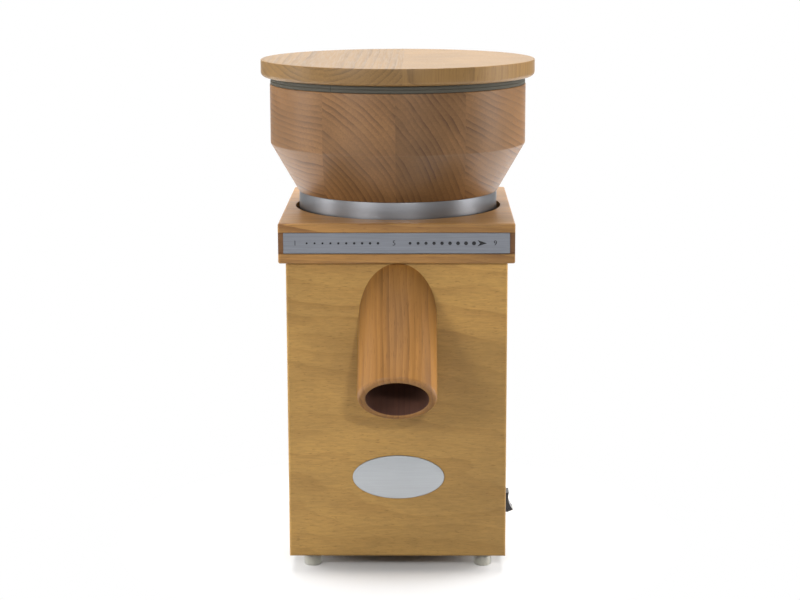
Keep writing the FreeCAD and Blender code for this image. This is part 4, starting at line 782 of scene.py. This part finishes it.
class Hopper:
    """The hopper bowl of glued boards, the seal on its rim, its collar and its lid."""

    bowl_boards = [
        Board(-0.0476, -0.085, -0.30, 4.0, 0.10, 1.02),
        Board(-0.0005, -0.118, -0.050, 0.0, 0.37, 1.06),
        Board(0.0443, -0.100, -0.035, 0.0, 0.81, 0.86),
        Board(0.200, -0.030, -0.090, 0.0, 1.35, 0.98),
    ]
    lid_boards = [
        Board(-0.0460, -0.0475, 0.050, 0.0, 0.2, 1.0),
        Board(0.0040, -0.0500, 0.052, 0.0, 0.2, 0.96),
        Board(0.200, 0.30, 0.55, 88.0, 0.9, 1.08),
    ]

    def __init__(self) -> None:
        """Reads the hopper's sizes from the frame."""
        self.centre = (0.0, LAYOUT.axis_y, 0.0)
        self.low = LAYOUT.bowl_low.z
        self.top = LAYOUT.bowl_high.z
        self.radius = LAYOUT.bowl_high.x
        self.wall = 9.0 * MM
        self.foot_radius = 67.5 * MM
        self.crease = self.low + 32.5 * MM
        self.throat = 24.0 * MM
        self.floor = self.low + 8.0 * MM
        self.funnel = self.low + 35.4 * MM
        self.plug_gap = 0.6 * MM
        self.seal_wall = 5.8 * MM
        self.seal_groove = 0.5 * MM
        self.seam_angle = -29.3
        self.collar_wall = 1.8 * MM

    def build(self) -> None:
        """Builds and dresses every piece of the hopper."""
        self.bowl()
        self.seal()
        self.collar()
        self.lid()

    def turned(self, name: str, outline: Outline) -> bpy.types.Object:
        """Turns an outline round the hopper's axis.

        Args:
            name: The piece's name.
            outline: The outline's points.

        Returns:
            The turned piece.
        """
        return new_object(name, shift(lathe(outline, 192), self.centre))

    def bowl(self) -> None:
        """The turned bowl."""
        inside = self.radius - self.wall
        outline = rounded([
            (self.throat, self.low),
            (self.foot_radius, self.low, 0.6 * MM),
            (self.radius, self.crease, 2.0 * MM),
            (self.radius, self.top, 0.5 * MM),
            (inside, self.top, 0.8 * MM),
            (inside, self.funnel, 4.0 * MM),
            (self.throat, self.floor, 2.0 * MM),
        ])
        bowl = self.turned("bowl_turned", densify(outline, 6.0 * MM))
        lay_boards(bowl, self.bowl_boards, (0.0, LAYOUT.axis_y, self.low))
        dress(bowl, HOPPER_WOOD, "hopper", "hopper_wood", "hopper_bowl")

    def seal(self) -> None:
        """The band on the rim, with the butt joint of its two ends."""
        low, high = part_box("seal_band")
        outer = high.x
        outline = rounded([
            (outer - self.seal_wall, low.z),
            (outer - 0.35 * MM, low.z, 0.2 * MM),
            (outer, low.z + 0.5 * MM, 0.2 * MM),
            (outer, low.z + 2.1 * MM, 0.2 * MM),
            (outer - self.seal_groove, low.z + 2.5 * MM, 0.2 * MM),
            (outer, low.z + 2.9 * MM, 0.2 * MM),
            (outer, high.z - 0.3 * MM, 0.3 * MM),
            (outer - self.seal_wall, high.z),
        ], 3)
        band = self.turned("seal_strip", outline)
        dress(band, SEAL_RUBBER, "hopper", "seal_rubber", "seal_band", smooth_angle=40.0)
        seam = new_object("seal_seam", block((0.5 * MM, 0.3 * MM, high.z - low.z - 1.0 * MM)))
        turn = Matrix.Rotation(math.radians(self.seam_angle), 4, "Z")
        place = Matrix.Translation((0.0, 0.1 * MM - outer, (low.z + high.z) / 2))
        seam.data.transform(Matrix.Translation(self.centre) @ turn @ place)
        dress(seam, SEAM_DARK, "hopper", "seal_rubber")

    def collar(self) -> None:
        """The turned metal collar with its small edge roundings."""
        low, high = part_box("collar_ring")
        outline = rounded([
            (high.x - self.collar_wall, low.z),
            (high.x, low.z, 0.4 * MM),
            (high.x, high.z, 0.3 * MM),
            (high.x - self.collar_wall, high.z),
        ], 4)
        collar = self.turned("collar_turned", outline)
        dress(collar, COLLAR_METAL, "hopper", "collar_metal", "collar_ring")

    def lid(self) -> None:
        """The lid of three glued boards, with its plug below."""
        low, high = LAYOUT.lid_low, LAYOUT.lid_high
        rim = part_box("seal_band")[1].z
        plug = self.radius - self.wall - self.plug_gap
        outline = rounded([
            (0.0, low.z),
            (plug, low.z, 1.0 * MM),
            (plug, rim),
            (high.x, rim, 3.0 * MM),
            (high.x, high.z, 0.7 * MM),
            (0.0, high.z),
        ])
        lid = self.turned("lid_turned", densify(outline, 9.0 * MM))
        lay_boards(lid, self.lid_boards, (0.0, LAYOUT.axis_y, rim))
        dress(lid, LID_WOOD, "lid", "head_wood", "lid")


class Spout:
    """The wooden spout on the front board."""

    def __init__(self) -> None:
        """Keeps the spout's sizes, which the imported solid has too."""
        self.outer = 25.3 * MM
        self.bore = 20.0 * MM
        self.length = 62.2 * MM
        self.spare = 2.0 * MM
        self.tilt = math.radians(45.0)
        self.bore_margin = 0.2 * MM
        self.pith = Vector((0.15, 0.02, 0.3))
        self.root = Vector((0.7 * MM, LAYOUT.case_low.y, 172.32 * MM))

    def build(self) -> None:
        """Turns the tube, cuts it to the board, lays its grain along its axis and gives its bore painted
        shade.
        """
        start = -(self.outer + self.spare)
        outline = rounded([
            (self.bore, start),
            (self.outer, start),
            (self.outer, self.length, 2.4 * MM),
            (self.bore, self.length, 1.4 * MM),
        ], 8)
        mesh = lathe(densify(outline, 8.0 * MM), 128)
        board_side = (0.0, -math.sin(self.tilt), -math.cos(self.tilt))
        cut = slice_off(mesh, (0.0, 0.0, 0.0), board_side, clear=True)
        edges = [item for item in cut["geom_cut"] if isinstance(item, bmesh.types.BMEdge)]
        middle = (self.bore + self.outer) / 2
        inner = [edge for edge in edges if max(vert.co.xy.length for vert in edge.verts) < middle]
        outer = [edge for edge in edges if edge not in inner]
        bmesh.ops.bridge_loops(mesh, edges=inner + outer)
        spout = new_object("spout_turned", mesh)
        places = [value for vert in spout.data.vertices for value in vert.co + self.pith]
        store(spout, "board", "FLOAT_VECTOR", "POINT", places)
        store(spout, "board_tint", "FLOAT", "POINT", [1.0] * len(spout.data.vertices))
        turn = Matrix.Rotation(math.pi / 2 + self.tilt, 4, "X")
        inside = [polygon.index for polygon in spout.data.polygons
                  if polygon.center.xy.length < self.bore + self.bore_margin]
        spout.data.transform(Matrix.Translation(self.root) @ turn)
        dress(spout, SPOUT_WOOD, "case", "spout_wood", "outlet_spout")
        # Painted shade: the bore's inner faces get the darker wood.
        spout.data.materials.append(material_of(BORE_SHADE_WOOD))
        for index in inside:
            spout.data.polygons[index].material_index = 1


class Scale:
    """The metal strip in the head with its row of growing dots, arrow and plain numbers."""

    def __init__(self) -> None:
        """Reads the strip's place from the frame."""
        self.low, self.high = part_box("scale_strip")
        self.face = self.low.y
        self.middle = (self.low.z + self.high.z) / 2
        self.ink = 0.05 * MM
        self.number_size = 4.6 * MM

    def build(self) -> None:
        """Builds the strip and everything printed on it."""
        self.strip()
        self.dots("fine_dots", -57.7 * MM, 5.09 * MM, 10, 0.62 * MM, 0.85 * MM)
        self.dots("coarse_dots", 8.7 * MM, 5.125 * MM, 9, 0.92 * MM, 1.3 * MM)
        self.arrow()
        for text, place in (("1", -65.2 * MM), ("5", -1.6 * MM), ("9", 63.4 * MM)):
            self.number(text, place)

    def strip(self) -> None:
        """The strip itself, with fine edges."""
        mesh = shift(block(self.high - self.low), (self.low + self.high) / 2)
        bmesh.ops.bevel(mesh, geom=mesh.edges[:], offset=0.25 * MM, segments=2, affect="EDGES")
        strip = new_object("scale_plate", mesh)
        dress(strip, STRIP_METAL, "case", "scale_metal", "scale_strip")

    def dots(self, name: str, start: float, pitch: float, count: int, first: float, last: float) -> None:
        """A row of raised ink dots that grow from left to right, made by geometry nodes.

        Args:
            name: The row's name.
            start: The first dot's place along X.
            pitch: Distance between dots.
            count: Number of dots.
            first: The first dot's radius.
            last: The last dot's radius.
        """
        tree = bpy.data.node_groups.new(name, "GeometryNodeTree")
        tree.interface.new_socket("Geometry", in_out="INPUT", socket_type="NodeSocketGeometry")
        values = {"Start": start, "Pitch": pitch, "First Radius": first, "Last Radius": last, "Count": count,
                  "Face": self.face, "Height": self.middle, "Ink": self.ink}
        identifiers = {}
        for label in values:
            kind = "NodeSocketInt" if label == "Count" else "NodeSocketFloat"
            identifiers[label] = tree.interface.new_socket(label, in_out="INPUT", socket_type=kind).identifier
        tree.interface.new_socket("Geometry", in_out="OUTPUT", socket_type="NodeSocketGeometry")
        nodes = Nodes(tree)
        given = tree.nodes.new("NodeGroupInput").outputs
        place = nodes.add("ShaderNodeCombineXYZ", X=given["Start"], Y=given["Face"], Z=given["Height"])
        step = nodes.add("ShaderNodeCombineXYZ", X=given["Pitch"])
        row = nodes.add("GeometryNodeMeshLine", Count=given["Count"], Start_Location=place.outputs[0],
                        Offset=step.outputs[0])
        disc = nodes.add("GeometryNodeMeshCylinder", Vertices=24, Radius=1.0, Depth=1.0)
        number = nodes.add("GeometryNodeInputIndex").outputs[0]
        share = nodes.math("DIVIDE", number, nodes.math("SUBTRACT", given["Count"], 1.0))
        growth = nodes.math("SUBTRACT", given["Last Radius"], given["First Radius"])
        radius = nodes.math("ADD", given["First Radius"], nodes.math("MULTIPLY", growth, share))
        size = nodes.add("ShaderNodeCombineXYZ", X=radius, Y=radius, Z=given["Ink"])
        placed = nodes.add("GeometryNodeInstanceOnPoints", Points=row.outputs[0], Instance=disc.outputs[0],
                           Rotation=(math.pi / 2, 0.0, 0.0), Scale=size.outputs[0])
        real = nodes.add("GeometryNodeRealizeInstances", Geometry=placed.outputs[0])
        inked = nodes.add("GeometryNodeSetMaterial", Geometry=real.outputs[0], Material=material_of(INK))
        result = tree.nodes.new("NodeGroupOutput")
        tree.links.new(inked.outputs[0], result.inputs[0])
        carrier = put(name + "_carrier", bpy.data.meshes.new(name + "_carrier"))
        modifier = carrier.modifiers.new("row", "NODES")
        modifier.node_group = tree
        for label, value in values.items():
            modifier[identifiers[label]] = value
        report(put(name, plain_mesh(carrier, name)), "case", "black_plastic")

    def arrow(self) -> None:
        """The arrowhead that points to the coarse end."""
        mesh = bmesh.new()
        left, notch, right, half = 52.0 * MM, 53.6 * MM, 58.1 * MM, 2.0 * MM
        outline = [(left, half), (right, 0.0), (left, -half), (notch, 0.0)]
        verts = [mesh.verts.new((x, self.face - self.ink / 2, self.middle + z)) for x, z in outline]
        first = mesh.faces.new([verts[0], verts[1], verts[3]])
        second = mesh.faces.new([verts[3], verts[1], verts[2]])
        raised = bmesh.ops.extrude_face_region(mesh, geom=[first, second])
        moved = [item for item in raised["geom"] if isinstance(item, bmesh.types.BMVert)]
        bmesh.ops.translate(mesh, verts=moved, vec=(0.0, self.ink, 0.0))
        arrow = new_object("scale_arrow", mesh)
        dress(arrow, INK, "case", "black_plastic")

    def number(self, text: str, place: float) -> None:
        """One plain number on the strip.

        Args:
            text: The number.
            place: Its middle along X.
        """
        curve = bpy.data.curves.new("scale_number_" + text, "FONT")
        curve.body = text
        curve.size = self.number_size
        curve.align_x = "CENTER"
        curve.align_y = "CENTER"
        curve.extrude = self.ink / 2
        mesh = plain_mesh(put("number_curve", curve), curve.name)
        turn = Matrix.Rotation(math.pi / 2, 4, "X")
        mesh.transform(Matrix.Translation((place, self.face, self.middle)) @ turn)
        piece = put(mesh.name, mesh)
        dress(piece, INK, "case", "black_plastic")


class Badge:
    """The bare oval plate with its thin dark rim."""

    def __init__(self) -> None:
        """Reads the plate's place from the frame."""
        self.low, self.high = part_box("oval_plate")
        self.centre = (self.low + self.high) / 2
        self.half_x = (self.high.x - self.low.x) / 2
        self.half_z = (self.high.z - self.low.z) / 2
        self.edge = 0.45 * MM
        self.edge_steps = 4
        self.rim = 0.35 * MM
        self.rim_inset = 0.1 * MM
        self.rim_share = 0.45
        self.segments = 96

    def build(self) -> None:
        """Builds the plate and its rim."""
        self.plate()
        self.hoop()

    def ring(self, mesh: bmesh.types.BMesh, y: float, inset: float) -> Ring:
        """One row of points along the oval.

        Args:
            mesh: The mesh that gets the points.
            y: Their place along Y.
            inset: How far they lie inside the oval.

        Returns:
            The points.
        """
        angles = [2 * math.pi * k / self.segments for k in range(self.segments)]
        return [mesh.verts.new((self.centre.x + (self.half_x - inset) * math.cos(angle), y,
                                self.centre.z + (self.half_z - inset) * math.sin(angle))) for angle in angles]

    def plate(self) -> None:
        """The plate, with a rounded front edge."""
        mesh = bmesh.new()
        rings = [self.ring(mesh, self.high.y, 0.0)]
        for number in range(self.edge_steps + 1):
            angle = math.pi / 2 * number / self.edge_steps
            y = self.low.y + self.edge * (1 - math.sin(angle))
            rings.append(self.ring(mesh, y, self.edge * (1 - math.cos(angle))))
        for first, second in zip(rings, rings[1:]):
            bridge(mesh, first, second)
        mesh.faces.new(rings[0])
        mesh.faces.new(rings[-1])
        plate = new_object("badge_plate", mesh)
        dress(plate, BADGE_METAL, "case", "badge_metal", "oval_plate")

    def hoop(self) -> None:
        """A thin dark line round the plate's foot."""
        mesh = bmesh.new()
        front = self.high.y - (self.high.y - self.low.y) * self.rim_share
        outside, inside = self.rim_inset, self.rim_inset + self.rim
        profile = ((self.high.y, outside), (front, outside), (front, inside), (self.high.y, inside))
        rings = [self.ring(mesh, y, inset) for y, inset in profile]
        for index, first in enumerate(rings):
            bridge(mesh, first, rings[(index + 1) % len(rings)])
        hoop = new_object("badge_rim", mesh)
        dress(hoop, BADGE_RIM, "case", "badge_metal")


CARRIED: dict[Finish, str] = {
    CASE_WOOD: "front_panel back_panel",
    SIDE_WOOD: "left_panel right_panel",
    HEAD_WOOD: "head_block",
    PLY_WOOD: "base_plate",
    RAW_WOOD: "glue_blocks",
    FOOT_RUBBER: "foot_front_left foot_front_right foot_back_left foot_back_right",
    CAST_METAL: "milling_chamber stone_carrier upper_end_shield lower_end_shield",
    STONE: "upper_stone lower_stone",
    FELT: "shaft_seal",
    SHEET_STACK: "stator_core rotor",
    COPPER: "stator_winding",
    BRASS: "switch_terminals",
    ROCKER_PLASTIC: "switch_rocker",
    WHITE_PLASTIC: "outlet_chute adjusting_nut stone_holder thread_ring run_capacitor terminal_block",
    BLACK_PLASTIC: "cooling_fan cable_gland gland_nut switch_housing switch_feed_lead switch_motor_lead",
    STEEL: "foot_screws guide_pins spring_back spring_left spring_right chamber_screws carrier_screw"
           " hopper_screws upper_bearing_outer_race upper_bearing_inner_race upper_bearing_balls"
           " lower_bearing_outer_race lower_bearing_inner_race lower_bearing_balls motor_shaft tie_bolts"
           " motor_screws capacitor_clip",
}


def dress_carried() -> None:
    """Gives every CAD node that stays its own material."""
    for finish, names in CARRIED.items():
        for name in names.split():
            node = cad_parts[name]
            node.data.materials.clear()
            node.data.materials.append(material_of(finish))
        log.info("%s on %s", finish.name, names)


@dataclass(frozen=True)
class Studio:
    """The white studio: floor, lamps, background and the camera of the photograph."""

    camera_place: Point = (16.45 * MM, -1296.42 * MM, 428.24 * MM)
    pitch: float = 11.354
    yaw: float = -0.676
    roll: float = -0.148
    lens: float = 86.23
    soft_fill: float = 0.18
    mirrored_fill: float = 0.27
    floor_half: float = 1.2
    shadow_reach: float = 0.06
    white_from: float = 0.20

    def build(self) -> None:
        """Sets the studio up."""
        self.background()
        self.floor()
        self.lamps()
        self.camera()
        bpy.context.scene.view_settings.view_transform = "Standard"

    def background(self) -> None:
        """A world that is white to the camera, and a dim fill for reflections and soft light."""
        world = bpy.data.worlds.new("studio")
        bpy.context.scene.world = world
        world.use_nodes = True
        nodes = Nodes(world.node_tree)
        world.node_tree.nodes.clear()
        path = world.node_tree.nodes.new("ShaderNodeLightPath")
        seen = nodes.math("MAXIMUM", path.outputs["Is Camera Ray"], path.outputs["Is Transmission Ray"])
        white = nodes.add("ShaderNodeBackground", Color=WHITE, Strength=1.0)
        level = nodes.span(path.outputs["Is Glossy Ray"], 0.0, 1.0, self.soft_fill, self.mirrored_fill)
        fill = nodes.add("ShaderNodeBackground", Color=(1.0, 0.99, 0.98, 1.0), Strength=level)
        mixed = nodes.add("ShaderNodeMixShader", in_0=seen, in_1=fill.outputs[0], in_2=white.outputs[0])
        output = nodes.add("ShaderNodeOutputWorld", Surface=mixed.outputs[0])
        output.is_active_output = True

    def floor(self) -> None:
        """A pale floor that keeps the soft shadow near the feet and fades out into the white."""
        mesh = bmesh.new()
        bmesh.ops.create_grid(mesh, x_segments=1, y_segments=1, size=self.floor_half)
        floor = new_object("studio_floor", mesh)
        material, nodes, shader = start_material("studio_floor")
        nodes.feed(shader, "Roughness", 0.9)
        path = nodes.tree.nodes.new("ShaderNodeLightPath")
        mirrored = nodes.math("MAXIMUM", path.outputs["Is Camera Ray"], path.outputs["Is Glossy Ray"])
        shade = nodes.mix(mirrored, (0.3, 0.3, 0.3, 1.0), (0.9, 0.9, 0.9, 1.0))
        nodes.feed(shader, "Base Color", shade)
        centred = nodes.stretch(nodes.place(), (1.0, 1.0, 1.0), (0.0, -LAYOUT.axis_y, 0.0))
        distance = nodes.add("ShaderNodeVectorMath", operation="LENGTH", in_0=centred).outputs["Value"]
        far = nodes.span(distance, self.shadow_reach, self.white_from)
        hidden = nodes.math("MULTIPLY", far, path.outputs["Is Camera Ray"])
        white = nodes.add("ShaderNodeEmission", Color=WHITE, Strength=1.0)
        mixed = nodes.add("ShaderNodeMixShader", in_0=hidden, in_1=shader.outputs[0], in_2=white.outputs[0])
        nodes.feed(nodes.tree.nodes["Material Output"], "Surface", mixed.outputs[0])
        floor.data.materials.append(material)

    def lamp(self, name: str, place: Point, target: Point, size: float, power: float,
             glossy: bool = True) -> None:
        """One soft square lamp.

        Args:
            name: The lamp's name.
            place: Where it hangs.
            target: The point that it faces.
            size: The length of its side.
            power: Its power in watts.
            glossy: Whether shiny surfaces mirror it.
        """
        light = bpy.data.lights.new(name, "AREA")
        light.size = size
        light.energy = power
        lamp = put(name, light)
        lamp.location = place
        lamp.visible_glossy = glossy
        lamp.rotation_euler = (Vector(target) - Vector(place)).to_track_quat("-Z", "Y").to_euler()

    def lamps(self) -> None:
        """The key lamps at the front, and the top, rim, edge and back lamps."""
        middle = (0.0, LAYOUT.axis_y, 0.17)
        self.lamp("key_left", (-0.69, -0.89, 0.56), middle, 0.3, 4.4)
        self.lamp("key_right", (0.22, -1.07, 0.63), middle, 0.1, 3.2)
        self.lamp("top_back", (0.0, 0.35, 1.3), (0.0, LAYOUT.axis_y, 0.3), 0.9, 20.0)
        self.lamp("rim_left", (-0.95, 0.30, 0.5), middle, 0.7, 10.0, glossy=False)
        self.lamp("rim_right", (0.95, 0.30, 0.5), middle, 0.7, 13.0, glossy=False)
        self.lamp("edge_left", (-0.9, -0.05, 0.3), middle, 0.25, 1.0)
        self.lamp("edge_right", (0.9, -0.05, 0.3), middle, 0.25, 1.2)
        self.lamp("back_sheen", (0.0, 1.5, 0.62), (0.0, LAYOUT.axis_y, 0.33), 1.4, 6.4)

    def camera(self) -> None:
        """The camera of the photograph."""
        pitch, yaw, roll = (math.radians(angle) for angle in (self.pitch, self.yaw, self.roll))
        forward = Vector((math.sin(yaw) * math.cos(pitch), math.cos(yaw) * math.cos(pitch), -math.sin(pitch)))
        right = Vector((math.cos(yaw), -math.sin(yaw), 0.0))
        up = right.cross(forward)
        level_right = right * math.cos(roll) + up * math.sin(roll)
        level_up = level_right.cross(forward)
        matrix = Matrix((level_right, level_up, -forward)).transposed().to_4x4()
        matrix.translation = Vector(self.camera_place) + Vector((0.0, LAYOUT.axis_y, 0.0))
        data = bpy.data.cameras.new("camera")
        data.lens = self.lens
        data.sensor_width = 36.0
        camera = put("camera", data)
        camera.matrix_world = matrix
        bpy.context.scene.camera = camera


def main() -> None:
    """Builds the studio and every piece in order."""
    Studio().build()
    dress_carried()
    Hopper().build()
    Spout().build()
    Scale().build()
    Badge().build()


if __name__ == "__main__":
    main()
